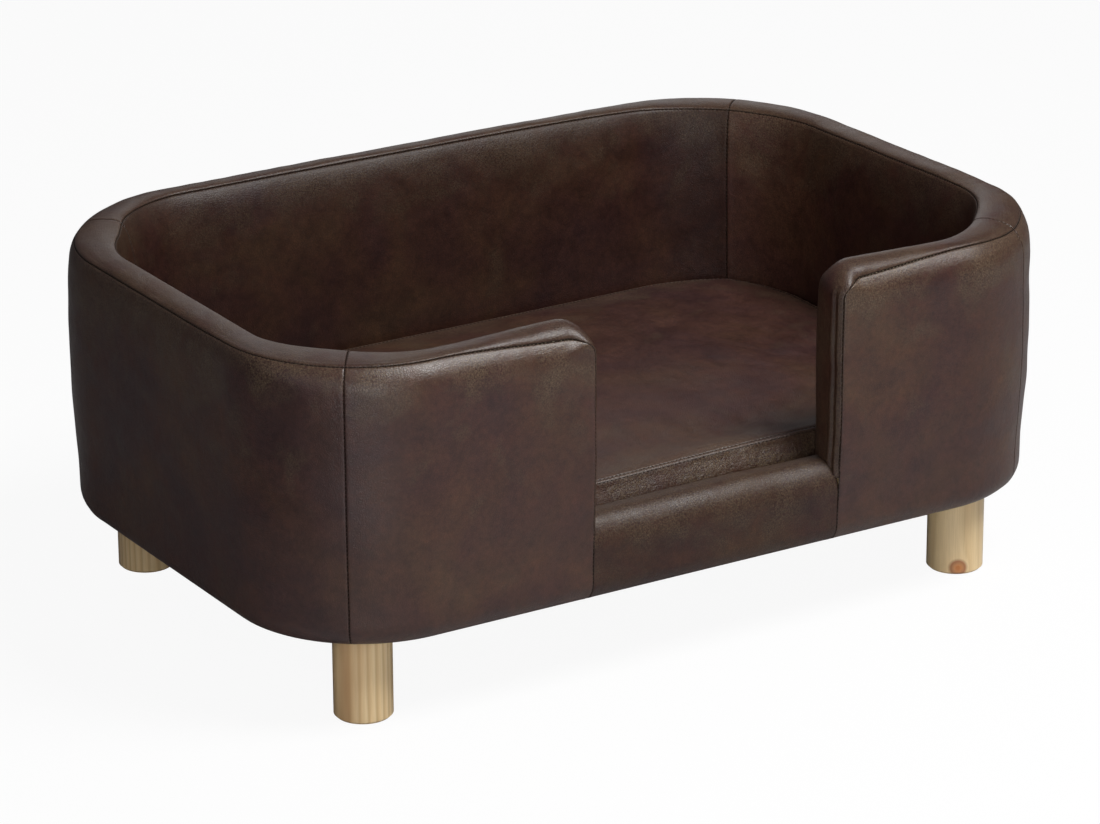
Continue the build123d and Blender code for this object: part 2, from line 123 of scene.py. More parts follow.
floor_half = 14.0
floor_corners = [(x * floor_half, y * floor_half, 0) for x, y in ((-1, -1), (1, -1), (1, 1), (-1, 1))]
floor_mesh = bpy.data.meshes.new("floor")
floor_mesh.from_pydata(floor_corners, [], [(0, 1, 2, 3)])
floor = bpy.data.objects.new("floor", floor_mesh)
scene.collection.objects.link(floor)
paint = bpy.data.materials.new("studio_floor")
tree = empty_tree(paint)
seen = seen_white(tree)
spot = node(tree, "ShaderNodeSeparateXYZ", {0: own_place(tree)}).outputs
# Painted shade: for light and reflections the floor is grey, darkest to the left of the bed
aside = math_node(tree, "MULTIPLY_ADD", spot[1], -0.35, spot[0])
floor_painted_shade = {"Value": aside, "From Min": -1.05, "From Max": -0.35, "To Min": 0.18, "To Max": 0.46}
grey = node(tree, "ShaderNodeMapRange", floor_painted_shade, interpolation_type="SMOOTHSTEP").outputs[0]
tone = math_node(tree, "MAXIMUM", grey, math_node(tree, "MULTIPLY", seen, 0.86))
tint = node(tree, "ShaderNodeCombineXYZ", {0: tone, 1: tone, 2: tone}).outputs[0]
matt = node(tree, "ShaderNodeBsdfPrincipled", {"Base Color": tint, "Roughness": 0.7})
glow = node(tree, "ShaderNodeEmission", {"Color": (1, 1, 1, 1), "Strength": 1.0})
share = math_node(tree, "MULTIPLY", seen, 0.93)
both = node(tree, "ShaderNodeMixShader", {0: share, 1: matt.outputs[0], 2: glow.outputs[0]})
node(tree, "ShaderNodeOutputMaterial", {"Surface": both.outputs[0]})
floor_mesh.materials.append(paint)

# Place, size and power of each lamp. All are aimed at the middle of the bed or lie level.
lamps = {
    "lamp_key": ((0.95, -1.5, 2.95), (1.3, 1.3), 110.0),
    "lamp_front": ((-1.2, -3.0, 1.5), (0.6, 0.6), 7.0),
    "lamp_low": ((-1.3, -2.3, 0.16), (1.8, 0.24), 17.0),
    "lamp_left": ((-2.7, -1.4, 1.7), (1.2, 1.2), 7.5),
    "lamp_back": ((2.0, 3.4, 1.85), (3.0, 1.4), 11.0),
}
bed_middle = 0.25
for name, (place, size, power) in lamps.items():
    lamp = bpy.data.lights.new(name, "AREA")
    lamp.shape = "RECTANGLE"
    lamp.size, lamp.size_y = size
    lamp.energy = power
    holder = bpy.data.objects.new(name, lamp)
    away = unit(np.array(place) - (0, 0, min(bed_middle, place[2])))
    across = unit(np.cross((0, 1, 0), away))
    holder.matrix_world = standing(place, across, np.cross(away, across), away)
    scene.collection.objects.link(holder)

# Outer covers: five faux leather panels on the outside of the walls, sewn together at the plan
# corners, sewn to the rim band on top, pulled down over foam, rounded under the base board and
# stapled there. All lengths in the sections from here on are in millimetres until a mesh is made.
half_length, half_depth, rim_height = 485.0, 322.5, 402.0
inner_half_length, inner_front, inner_back = 434.0, -273.5, 275.5
# Outer radius, inner radius and seam angle of the corners, in front (-1) and at the back (1)
plan_corners = {-1: (158.0, 128.0, 54.2), 1: (178.0, 145.0, 46.0)}
# How far the front corner seams slant over the rim, and how far round the corner that reaches
seam_slant, slant_reach = 0.056, 0.35
arm_ends = {"front_left": -139.5, "front_right": 158.5}
arm_corner, arm_end_round, end_seam_step, arm_straight = 34.0, 9.0, 4.0, 60.0
# Heights where the walls begin to round under, where the inner covers meet the deck, where the
# bands end on the arms, and below which the leather lies under the base board
wall_foot, deck_line, band_foot, under_edge = 120.0, 117.8, 172.0, 104
hide = 1.2


def smooth(share):
    # An even rise from none to one
    share = np.clip(share, 0.0, 1.0)
    return share * share * (3 - 2 * share)


def bell(distance, width):
    # One at no distance, fading out over the width
    return np.exp(-((distance / width) ** 2))


def corner_run(side, end, start, stop):
    # The outer line, the inner line and the outward direction round one corner of the plan, and
    # how much of a corner each place is
    outer_radius, inner_radius, join = plan_corners[end]
    angles = np.radians(np.linspace(start, stop, 160))
    slant = seam_slant * bell(angles - math.radians(join), slant_reach) if end < 0 else 0
    out, inner_out = (np.stack([side * np.cos(way), end * np.sin(way)], 1) for way in (angles, angles - slant))
    inner_edge = inner_back if end > 0 else -inner_front
    outer_centre = np.array([side * (half_length - outer_radius), end * (half_depth - outer_radius)])
    inner_centre = np.array([side * (inner_half_length - inner_radius), end * (inner_edge - inner_radius)])
    corner = np.stack([np.sin(2 * angles) ** 2, 0 * angles], 1)
    return outer_centre + outer_radius * out, inner_centre + inner_radius * inner_out, out, corner


def wall_run(name):
    # One stretch of wall from seam to seam, or from a corner seam to the arm end, with the
    # distances along its outer line
    front, back = plan_corners[-1][2], plan_corners[1][2]
    if name == "left":
        parts = [corner_run(-1, -1, front, 0), corner_run(-1, 1, 0, back)]
    elif name == "back":
        parts = [corner_run(-1, 1, back, 90), corner_run(1, 1, 90, back)]
    elif name == "right":
        parts = [corner_run(1, 1, back, 0), corner_run(1, -1, 0, front)]
    else:
        side = -1 if name == "front_left" else 1
        ends = (arm_ends[name] + side * arm_straight, arm_ends[name])
        outer, inner = (np.array([(x, y) for x in ends]) for y in (-half_depth, inner_front))
        out = np.array([(0.0, -1.0), (0.0, -1.0)])
        parts = [corner_run(side, -1, front, 90), (outer, inner, out, 0 * out)]
    outer, inner, out, corner = (np.concatenate([part[k] for part in parts]) for k in range(4))
    steps = np.linalg.norm(np.diff(outer, axis=0), axis=1)
    return outer, inner, out, corner, np.concatenate([[0.0], np.cumsum(steps)])


def at(places, run, line):
    # Points of a line at distances along it
    return np.stack([np.interp(places, run, line[:, k]) for k in range(line.shape[1])], 1)


def on_wall(run, places):
    # Outer point, inner point, outward direction and corner share at distances along the wall
    shape = (*np.shape(places), 2)
    outer, inner, out, corner = (at(np.ravel(places), run[4], line).reshape(shape) for line in run[:4])
    return outer, inner, out, corner[..., 0]


def arm_share(outer):
    # From none at the front corners to one near the arm ends
    return smooth((330 - np.abs(outer[..., 0] - 9.5)) / 180) * (outer[..., 1] < 0)


def crest(outer):
    # Height of the rim: level, a little fuller over the back and the arms, uneven on the right
    x, y = outer[..., 0], outer[..., 1]
    back = np.clip(1 - (x / 340) ** 2, 0, 1) * (y > 0)
    right = 2.4 * bell(np.hypot(x - 480, y + 135), 90) - 2.6 * bell(np.hypot(x - 465, y - 150), 80)
    return rim_height + 0.8 * back + 3.0 * arm_share(outer) + right


def lean(outer):
    # How far the padding of the two ends gives way at the rim, on the outside
    x, y = outer[..., 0], outer[..., 1]
    left = smooth((-x - 330) / 120) * smooth((y + 230) / 160)
    return 5.0 * (left + smooth((x - 330) / 110))


def taper(height):
    # The wall leans in a little towards its foot
    return 5.6 * smooth((245 - height) / 125)


def rounding(gap, radius, reach):
    # How far a rounded edge stands back, at a distance from the line of its crown
    inside = np.clip(1 - gap / reach, 0, 1)
    return radius * (1 - np.sqrt(np.maximum(1 - inside**2, 0)))


def section(outside, outer):
    # Depth and height of the rounding under the rim, how far under the crown it begins, and the
    # drop of the rim seam. Outside, the front corners are rounder and the arms begin lower, with
    # their seam. Inside, the back is rounder than the ends, and its seam lies near the crown.
    if not outside:
        behind = smooth((outer[..., 1] - 235) / 60) * (1 - 0.8 * bell(outer[..., 0] - 400, 110))
        return 10 + 9 * behind, 48 + 14 * behind, 0.0, 5.0 - 3.2 * behind
    front = smooth((-200 - outer[..., 1]) / 80)
    arm = arm_share(outer)
    radius, reach = 15 + 13 * front - 10 * arm, 24 + 6 * front - 4 * arm
    start = front + 11.5 * arm
    return radius, reach, start, start + 0.134 * reach + 0.8 * lean(outer)


def face_depth(outside, outer, corner, z, gap, radius, reach):
    # How far the leather stands back from its plan line, at a height and a gap from the crown.
    # The inner corners are filled out, least at the back on the right.
    under = crest(outer) - z
    depth = rounding(gap, radius, reach)
    if outside:
        give = lean(outer) * np.clip(1 - under / 95, 0, 1) ** 1.3
        return depth + give + taper(z) - 1.0 * bell(under - 45, 24)
    x, y = outer[..., 0], outer[..., 1]
    filled = corner * smooth((z - 215) / 120) * np.where(x * y > 0, np.where(x > 0, 6.6, 11.0), 10.0)
    give = 2.4 * np.clip(1 - under / 90, 0, 1) ** 1.5
    return depth - filled + give - 1.5 * bell(under - 110, 60) * smooth((z - 215) / 40)


def foot_profile():
    # Depth and height of the leather round the edge of the base board and under it
    turn = np.linspace(0, math.pi / 2, 10)[1:]
    depth = taper(wall_foot) + 20 * (1 - np.cos(turn))
    height = wall_foot - 23.7 * np.sin(turn)
    return np.concatenate([depth, [31.0, 36.0, 40.0]]), np.concatenate([height, [96.8, 98.4, 99.8]])


closing = np.array([0.0, 0.35, 0.75, 1.3, 2.2, 3.4, 5.0, 7.5, 11.0, 15.0])


def spread(length, step, last=True):
    # Places along a line, set closer together beside its sewn ends
    stop = length - (closing[::-1] if last else closing[:1])
    count = max(2, round((stop[0] - closing[-1]) / step) + 1)
    return np.concatenate([closing, np.linspace(closing[-1], stop[0], count)[1:-1], stop])


def waves(points, size, seed, count=9):
    # Soft unevenness from a few crossing waves of about this size
    draw = np.random.default_rng(seed)
    total = np.zeros(points.shape[:-1])
    for _ in range(count):
        way = unit(draw.normal(size=3))
        total += np.cos(points @ way * (2 * math.pi / (size * draw.uniform(0.7, 1.5))) + draw.uniform(0, 6.28))
    return total / math.sqrt(count)


def crease(points, start, stop, width):
    # A straight fold between two points that fades at both ends
    start, stop = np.array(start, float), np.array(stop, float)
    way = stop - start
    share = np.clip((points - start) @ way / (way @ way), 0, 1)
    off = np.linalg.norm(points - start - share[..., None] * way, axis=-1)
    return bell(off, width) * np.sin(share * math.pi) ** 0.6


def facing(points, outward):
    # Directions square to a grid of points, on the side that faces outward
    across = unit(np.cross(np.gradient(points, axis=0), np.gradient(points, axis=1)))
    return across * np.sign(np.sum(across * outward))


def on_disc(a, b):
    # Bends the far corner of a unit square on to its quarter circle
    return a * np.sqrt(1 - b * b / 2), b * np.sqrt(1 - a * a / 2)


def run_lengths(points, axis):
    # Distances over a grid or along a line of points
    steps = np.linalg.norm(np.diff(points, axis=axis), axis=-1)
    return np.concatenate([np.zeros_like(np.take(steps, [0], axis)), np.cumsum(steps, axis)], axis)


def sewn(points, square, edges):
    # Turns the sewn edges down into their seams and fills the leather out beside them. Also gives
    # each point's seam marks: its run along the nearest seam, its gap to it, and its gap to the
    # nearest rim seam.
    dip, puff = 1.1, 0.2
    along, across = run_lengths(points, 0), run_lengths(points, 1)
    sides = {
        "start": (along, across),
        "stop": (along[-1:] - along, across),
        "top": (across, along),
        "bottom": (across[:, -1:] - across, along),
    }
    run, gap, rim_gap = (np.full(points.shape[:2], far) for far in (0.0, 1e3, 1e3))
    for edge in edges:
        away, beside = sides[edge]
        if edge in ("top", "bottom"):
            rim_gap = np.minimum(rim_gap, away)
        run = np.where(away < gap, beside, run)
        gap = np.minimum(gap, away)
    lift = puff * bell(gap - 3.6, 2.4) - dip * bell(gap, 0.6)
    return points + square * lift[..., None], np.stack([run, gap, rim_gap], -1)


def mesh_of(name, points, *faces):
    # A mesh in metres from points in millimetres
    mesh = bpy.data.meshes.new(name)
    corners = [face for part in faces for face in part.tolist()]
    mesh.from_pydata((points.reshape(-1, 3) * 0.001).tolist(), [], corners)
    return mesh


def dress(mesh, body, material, nodes):
    # Puts a finished mesh in the scene, on its body, for the pieces that it stands for
    piece = bpy.data.objects.new(mesh.name, mesh)
    scene.collection.objects.link(piece)
    mesh.materials.append(material)
    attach(piece, body)
    if nodes:
        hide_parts(*nodes)
    return piece


def grid_quads(number):
    return np.stack([number[:-1, :-1], number[1:, :-1], number[1:, 1:], number[:-1, 1:]], -1).reshape(-1, 4)


def shell(name, points, square, seam, thickness=hide):
    # A closed skin of even thickness over a grid of points, with their seam marks
    rows, columns = points.shape[:2]
    total = rows * columns
    number = np.arange(total).reshape(rows, columns)
    quads = grid_quads(number)
    rim = np.concatenate([number[:, 0], number[-1, 1:], number[-2::-1, -1], number[0, -2:0:-1]])
    after = np.roll(rim, -1)
    walls = np.stack([after, rim, rim + total, after + total], -1)
    faces = np.concatenate([quads, quads[:, ::-1] + total, walls])
    if np.sum(np.cross(points[1, 0] - points[0, 0], points[0, 1] - points[0, 0]) * square[0, 0]) < 0:
        faces = faces[:, ::-1]
    mesh = mesh_of(name, np.stack([points, points - square * thickness]), faces)
    mark = mesh.attributes.new("seam", "FLOAT_VECTOR", "POINT")
    mark.data.foreach_set("vector", np.tile(seam.reshape(-1, 3), (2, 1)).ravel().astype(np.float32))
    mesh.shade_smooth()
    mesh.set_sharp_from_angle(angle=math.radians(50))
    return mesh


def upholster(panel, points, square, seam, material, body="sofa"):
    # One leather panel, in the place of the solid that it is named for
    mesh = shell(f"{panel}_leather", points, square, seam)
    dress(mesh, body, material, [panel])


def stitches(name, lines, body, material, pitch=4.5, length=3.2, sink=0.35):
    # A row of single stitches along each line, their ends drawn down into the leather
    thick = 0.58
    shares = np.array([-0.5, -0.3, 0.0, 0.3, 0.5])
    fatness = np.array([0.55, 0.95, 1.0, 0.95, 0.55])
    bowing = np.array([-0.75, -0.15, 0.0, -0.15, -0.75])
    turn = np.arange(6) * math.pi / 3
    points = []
    for line, square in lines:
        run = run_lengths(line, 0)
        places = np.arange(pitch / 2, run[-1], pitch)
        centre = at(places, run, line)
        ahead = unit(at(places + 0.5, run, line) - centre)
        up = at(places, run, square)
        up = unit(up - ahead * np.sum(up * ahead, axis=1, keepdims=True))
        aside = np.cross(ahead, up)
        bow = up[:, None] * (bowing - sink)[:, None]
        middle = centre[:, None] + ahead[:, None] * (shares * length)[:, None] + bow
        ring = np.cos(turn)[:, None] * up[:, None, None] + np.sin(turn)[:, None] * aside[:, None, None]
        points.append(middle[:, :, None] + ring * (fatness * thick)[:, None, None])
    points = np.concatenate(points)
    number = np.arange(len(points) * 30).reshape(-1, 5, 6)
    turned = np.roll(number, -1, axis=2)
    quads = np.stack([number[:, :-1], turned[:, :-1], turned[:, 1:], number[:, 1:]], -1).reshape(-1, 4)
    caps = np.concatenate([number[:, 0, ::-1], number[:, -1]])
    mesh = mesh_of(name, points, quads, caps)
    mesh.shade_smooth()
    dress(mesh, body, material, [])


def ramp(tree, value, *stops):
    # Colours at places of a value, even between them
    made = node(tree, "ShaderNodeValToRGB", {0: value})
    band = made.color_ramp
    band.elements[0].position, band.elements[1].position = stops[0][0], stops[-1][0]
    for place, _ in stops[1:-1]:
        band.elements.new(place)
    for element, (place, colour) in zip(band.elements, stops):
        element.position = place
        element.color = (*colour, 1)
    return made.outputs[0]


def greys(tree, value, *stops):
    # A ramp from grey to grey
    return ramp(tree, value, *((place, (grey, grey, grey)) for place, grey in stops))


def new_group(name, inputs):
    # A shader node group that puts out a finish: its colour, roughness and relief
    made = bpy.data.node_groups.new(name, "ShaderNodeTree")
    for label, kind, default in inputs:
        socket = made.interface.new_socket(label, in_out="INPUT", socket_type=f"NodeSocket{kind}")
        socket.default_value = default
    for label, kind in (("Color", "Color"), ("Roughness", "Float"), ("Normal", "Vector")):
        made.interface.new_socket(label, in_out="OUTPUT", socket_type=f"NodeSocket{kind}")
    return made, made.nodes.new("NodeGroupInput").outputs, made.nodes.new("NodeGroupOutput").inputs


def noise(tree, place, scale, detail=3.0, rough=0.55, distortion=0.0):
    inputs = {"Vector": place, "Scale": scale, "Detail": detail, "Roughness": rough, "Distortion": distortion}
    return node(tree, "ShaderNodeTexNoise", inputs).outputs[0]


def vectors(tree, operation, first, second):
    # The sum, difference or distance of two places
    return node(tree, "ShaderNodeVectorMath", {0: first, 1: second}, operation=operation).outputs


def mix(tree, factor, first, second, blend="MIX"):
    # The first colour with the second over it, by the factor
    inputs = {0: factor, 6: first, 7: second}
    return node(tree, "ShaderNodeMix", inputs, data_type="RGBA", blend_type=blend).outputs[2]


def fade(tree, gap, rate):
    # One at no gap, fading out the faster the higher the rate
    return math_node(tree, "POWER", 2.718, math_node(tree, "MULTIPLY", gap, -rate))


# The aged finish of the leather: cloudy dark brown with olive and violet patches, a fine pebble
# grain, small puckers between the stitches, and a speckled lighter wear beside the rim seams. It
# reads the seam marks of the panels, in millimetres. Its patterns are scaled to the metre.
aged, given, sent = new_group(
    "aged_leather",
    [
        ("Cloud Size", "Float", 7.0),
        ("Rubbed", "Float", 0.5),
        ("Grain Depth", "Float", 0.10),
        ("Crumple", "Float", 0.3),
        ("Lightness", "Float", 1.0),
        ("Matt", "Float", 0.0),
    ],
)
place = own_place(aged)
cloud = noise(aged, place, given["Cloud Size"], 4.0, 0.55, 0.6)
patch = noise(aged, place, 31.0, 5.0, 0.62, 0.4)
fleck = noise(aged, place, 140.0, 4.0, 0.65)
speck = noise(aged, place, 520.0, 2.0, 0.6)
browns = [(0.044, 0.0166, 0.0146), (0.055, 0.0210, 0.0150), (0.061, 0.0250, 0.0150), (0.076, 0.0365, 0.0190)]
colour = ramp(aged, cloud, *zip((0.34, 0.45, 0.55, 0.70), browns))
shade = ramp(aged, patch, (0.30, (0.78, 0.78, 0.81)), (0.50, (0.99, 0.99, 0.99)), (0.72, (1.24, 1.23, 1.16)))
colour = mix(aged, 1.0, colour, shade, "MULTIPLY")
small = ramp(aged, fleck, (0.32, (0.80, 0.80, 0.80)), (0.70, (1.22, 1.21, 1.18)))
colour = mix(aged, 1.0, colour, small, "MULTIPLY")

marks = node(aged, "ShaderNodeAttribute", attribute_name="seam").outputs["Vector"]
along_seam, seam_gap, rim_gap = node(aged, "ShaderNodeSeparateXYZ", {0: marks}).outputs
near_rim = fade(aged, rim_gap, 0.018)
worn = math_node(aged, "MULTIPLY_ADD", near_rim, 0.42, noise(aged, place, 19.0, 3.0, 0.6, 0.5))
worn = math_node(aged, "MULTIPLY", greys(aged, worn, (0.62, 0), (0.88, 1)), given["Rubbed"])
colour = mix(aged, math_node(aged, "MULTIPLY", worn, 0.5), colour, (0.028, 0.012, 0.009, 1))
worn = math_node(aged, "MULTIPLY", worn, greys(aged, speck, (0.39, 0), (0.52, 1)))
colour = mix(aged, worn, colour, (0.112, 0.072, 0.042, 1))
# Painted shade: the leather darkens into the dip of every seam
seam_groove_shade = math_node(aged, "MULTIPLY", fade(aged, seam_gap, 1.6), 0.6)
colour = mix(aged, seam_groove_shade, colour, (0.008, 0.005, 0.004, 1))

gloss = math_node(aged, "MULTIPLY_ADD", patch, 0.26, 0.21)
gloss = math_node(aged, "MULTIPLY_ADD", speck, 0.12, gloss)
aged.links.new(math_node(aged, "ADD", gloss, given["Matt"]), sent["Roughness"])

wander = node(aged, "ShaderNodeTexNoise", {"Vector": place, "Scale": 260.0}).outputs[1]
bent = node(aged, "ShaderNodeVectorMath", {0: wander, "Scale": 0.0016}, operation="SCALE").outputs[0]
warped = vectors(aged, "ADD", place, bent)[0]
cells = {"Vector": warped, "Scale": 400.0, "Randomness": 1.0}
pebble = node(aged, "ShaderNodeTexVoronoi", cells, feature="DISTANCE_TO_EDGE").outputs["Distance"]
pebble = greys(aged, pebble, (0.0, 0), (0.16, 0.75), (0.40, 1))
deep = math_node(aged, "MULTIPLY_ADD", worn, 0.45, 0.30)
valley = math_node(aged, "MULTIPLY_ADD", math_node(aged, "SUBTRACT", pebble, 0.75), deep, 1.0)
light = math_node(aged, "MULTIPLY", given["Lightness"], valley)
light = node(aged, "ShaderNodeCombineXYZ", {0: light, 1: light, 2: light}).outputs[0]
aged.links.new(mix(aged, 1.0, colour, light, "MULTIPLY"), sent["Color"])

fold = noise(aged, warped, 150.0, 3.0, 0.55, 0.8)
pucker = math_node(aged, "SINE", math_node(aged, "MULTIPLY", along_seam, 2 * math.pi / 4.5))
pucker = math_node(aged, "MULTIPLY", pucker, fade(aged, seam_gap, 0.5))
height = math_node(aged, "MULTIPLY", pebble, given["Grain Depth"])
height = math_node(aged, "MULTIPLY_ADD", fold, given["Crumple"], height)
height = math_node(aged, "MULTIPLY_ADD", pucker, 0.10, height)
height = math_node(aged, "MULTIPLY_ADD", noise(aged, place, 40.0, 2.0, 0.45), 0.6, height)
raised = node(aged, "ShaderNodeBump", {"Strength": 1.0, "Distance": 0.001, "Height": height})
aged.links.new(raised.outputs[0], sent["Normal"])


def new_finish(name):
    # A material with its tree and its shader
    made = bpy.data.materials.new(name)
    made.use_nodes = True
    return made, made.node_tree, made.node_tree.nodes["Principled BSDF"]


def grouped_finish(name, group, values, own):
    # A material that takes colour, roughness and relief from a group, and the rest from itself
    made, tree, shader = new_finish(name)
    pattern = node(tree, "ShaderNodeGroup", values, node_tree=group)
    for key, socket in (("Base Color", "Color"), ("Roughness", "Roughness"), ("Normal", "Normal")):
        tree.links.new(pattern.outputs[socket], shader.inputs[key])
    for key, value in own.items():
        shader.inputs[key].default_value = value
    return made


def leather(name, cloud, rubbed, grain, crumple, lightness=1.0, matt=0.0, shine=0.55):
    # The aged finish with one hide's own clouds, wear, grain, small folds and gloss, and a lightness that is
    # painted shade and painted light on the inner covers
    values = {"Cloud Size": cloud, "Rubbed": rubbed, "Grain Depth": grain, "Crumple": crumple}
    values.update({"Lightness": lightness, "Matt": matt})
    return grouped_finish(name, aged, values, {"Specular IOR Level": shine})


def relief(tree, shader, height, distance):
    # Fine relief on a surface, as deep as the distance in metres
    raised = node(tree, "ShaderNodeBump", {"Distance": distance, "Height": height})
    tree.links.new(raised.outputs[0], shader.inputs["Normal"])


outer_leather = leather("outer_leather", cloud=7.0, rubbed=0.85, grain=0.11, crumple=0.26)
thread, tree, shader = new_finish("seam_thread")
strands = {"Vector": own_place(tree), "Scale": 900.0, "Distortion": 2.0}
twist = node(tree, "ShaderNodeTexWave", strands, bands_direction="DIAGONAL").outputs[1]
brown = ramp(tree, twist, (0.2, (0.010, 0.007, 0.005)), (0.8, (0.030, 0.019, 0.013)))
tree.links.new(brown, shader.inputs["Base Color"])
shader.inputs["Roughness"].default_value = 0.75
shader.inputs["Specular IOR Level"].default_value = 0.2
relief(tree, shader, twist, 0.0001)


def side_panel(run, outside, arm):
    # The grid of one wall panel, outside or towards the cushion, and what lies square to it. On
    # an arm the rim seam turns down a round corner and follows the arm end.
    length = run[4][-1]
    places = spread(length - end_seam_step if arm else length, 5.0)
    outer = on_wall(run, places)[0]
    top, seam_drop = crest(outer)[:, None], section(outside, outer)[3][:, None]
    low = wall_foot if outside else deck_line
    drops = spread(rim_height - low - 2.0, 6.0, last=False)
    share = drops / drops[-1]
    s = np.repeat(places[:, None], len(share), 1)
    z = (top - seam_drop) - share * (top - seam_drop - low)
    if arm:
        start, reach_s, reach_z = length - arm_corner, arm_corner - end_seam_step, arm_corner - seam_drop
        a = (s - start) / reach_s
        b = (z - (top - arm_corner)) / reach_z
        turning = (a > 0) & (b > 0)
        a, b = on_disc(np.clip(a, 0, 1), np.clip(b, 0, 1))
        s = np.where(turning, start + reach_s * a, s)
        z = np.where(turning, top - arm_corner + reach_z * b, z)
    outer, inner, out, corner = on_wall(run, s)
    gap = crest(outer) - z
    radius, reach, start_gap, _ = section(outside, outer)
    if arm:
        to_end = length - s
        turned = smooth((gap - to_end) / 30 + 0.5)
        end_round = 2 + (arm_end_round - 2) * smooth((z - 165) / 25) if outside else arm_end_round
        radius = radius + (end_round - radius) * turned
        reach = reach + (end_round - reach) * turned
        start_gap = start_gap * (1 - turned)
        beyond = np.hypot(np.clip(arm_corner - to_end, 0, None), np.clip(arm_corner - gap, 0, None))
        both = (to_end < arm_corner) & (gap < arm_corner)
        gap = np.where(both, arm_corner - beyond, np.where(turned > 0.5, to_end, gap))
    depth = face_depth(outside, outer, corner, z, gap - start_gap, radius, reach)
    line, away = (outer, out) if outside else (inner, -out)
    if outside:
        foot_depth, foot_z = foot_profile()
        tile = np.ones((len(places), 1))
        depth, z = np.concatenate([depth, tile * foot_depth], 1), np.concatenate([z, tile * foot_z], 1)
        feet = len(foot_z)
        line, away = (np.concatenate([part, np.repeat(part[:, -1:], feet, 1)], 1) for part in (line, away))
    points = np.concatenate([line - away * depth[..., None], z[..., None]], -1)
    return points, facing(points, np.concatenate([away, 0 * z[..., None]], -1))


def rim_edge(points, arm, places_before):
    # The sewn edge that a cover shares with the rim band, on an arm round its corner and down
    if not arm:
        return points[:, 0]
    end = points[-1, 1:]
    path = np.concatenate([points[places_before - 1 :, 0], end[end[:, 2] > band_foot]])
    run = run_lengths(path, 0)
    turned = at(np.linspace(0, run[-1], 76), run, path)
    return np.concatenate([points[: places_before - 1, 0], turned])


wall_names = ["left", "back", "right", *arm_ends]
runs = {name: wall_run(name) for name in wall_names}
covers, rim_edges = {}, {}
for name in wall_names:
    arm = name in arm_ends
    length = runs[name][4][-1]
    before = int(np.sum(spread(length - end_seam_step, 5.0) < length - arm_corner)) if arm else 0
    for outside in (True, False):
        covers[name, outside] = side_panel(runs[name], outside, arm)
        rim_edges[name, outside] = rim_edge(covers[name, outside][0], arm, before)
outer_pulls = [((-330, -322, 380), (-300, -322, 330), 9), ((-200, -322, 180), (-170, -322, 132), 12)]
seam_lines = []
for name in wall_names:
    points, square = covers[name, True]
    calm = smooth(run_lengths(points, 1) / 30) * (points[..., 2] > under_edge)
    uneven = 0.55 * waves(points, 130, 11) + 0.22 * waves(points, 48, 12)
    points = points + square * (uneven * calm)[..., None]
    if name == "front_left":
        pulled = sum(crease(points, *pull) for pull in outer_pulls)
        points = points - square * (0.5 * pulled)[..., None]
    seam_lines += [(points[:, 0], square[:, 0]), (points[0], square[0])]
    if name in arm_ends:
        seam_lines.append((points[-1], square[-1]))
    points, seam = sewn(points, square, ["start", "stop", "top"])
    upholster(f"outer_cover_{name}", points, square, seam, outer_leather)

# Rim bands: the boxing strip between the two rim seams, full over soft foam. On the arms it
# turns down over the end. Its pleats beside the front seam are where it was eased round the turn.
band_leather = leather(
    "rim_leather", cloud=8.0, rubbed=0.6, grain=0.11, crumple=0.24, lightness=0.84, shine=0.42
)
band_width = 36.0


def band_grid(outer_edge, inner_edge):
    # The strip between two seams, crowned across and turned with them round the arm end, and how
    # far it is turned
    between = inner_edge - outer_edge
    up = unit(np.cross(np.gradient(outer_edge + inner_edge, axis=0), unit(between)))
    up *= np.sign(up[0, 2])
    share = np.unique(np.concatenate([spread(band_width, 3.6), np.arange(4.0, 19.0, 0.8)])) / band_width
    rise = np.clip(between[:, 2], 0, None) * up[:, 2]
    full = 3.6 + 2.0 * (1 - up[:, 2]) + 0.5 * rise + 0.3 * lean(outer_edge) * (outer_edge[:, 0] > 0)
    crown = (1 - np.abs(2 * share - 1) ** 2.6) ** 0.75
    fullness = up[:, None] * (full[:, None] * crown)[..., None]
    points = outer_edge[:, None] + between[:, None] * share[:, None] + fullness
    return points, facing(points, np.repeat(up[:, None], len(share), 1)), np.arccos(np.clip(up[:, 2], 0, 1))


band_lines = []
for name in wall_names:
    points, square, angle = band_grid(rim_edges[name, True], rim_edges[name, False])
    across = run_lengths(points, 1)
    calm = smooth(across / 8) * smooth((across[:, -1:] - across) / 8)
    uneven = 0.35 * waves(points, 70, 21) + 0.18 * waves(points, 26, 22)
    edges = ["top", "bottom", "start"]
    if name in arm_ends:
        pleat = bell(across - 5.8, 1.7) + 0.9 * bell(across - 15.0, 2.0) - 1.1 * bell(across - 10.2, 2.2)
        uneven = uneven + 1.15 * pleat * smooth((angle[:, None] - 0.95) / 0.55)
    else:
        edges.append("stop")
    points = points + square * (uneven * calm)[..., None]
    band_lines.append((points[:, -1], square[:, -1]))
    if name in ("left", "right"):
        band_lines += [(points[0], square[0]), (points[-1], square[-1])]
    points, seam = sewn(points, square, edges)
    upholster(f"rim_band_{name}", points, square, seam, band_leather)
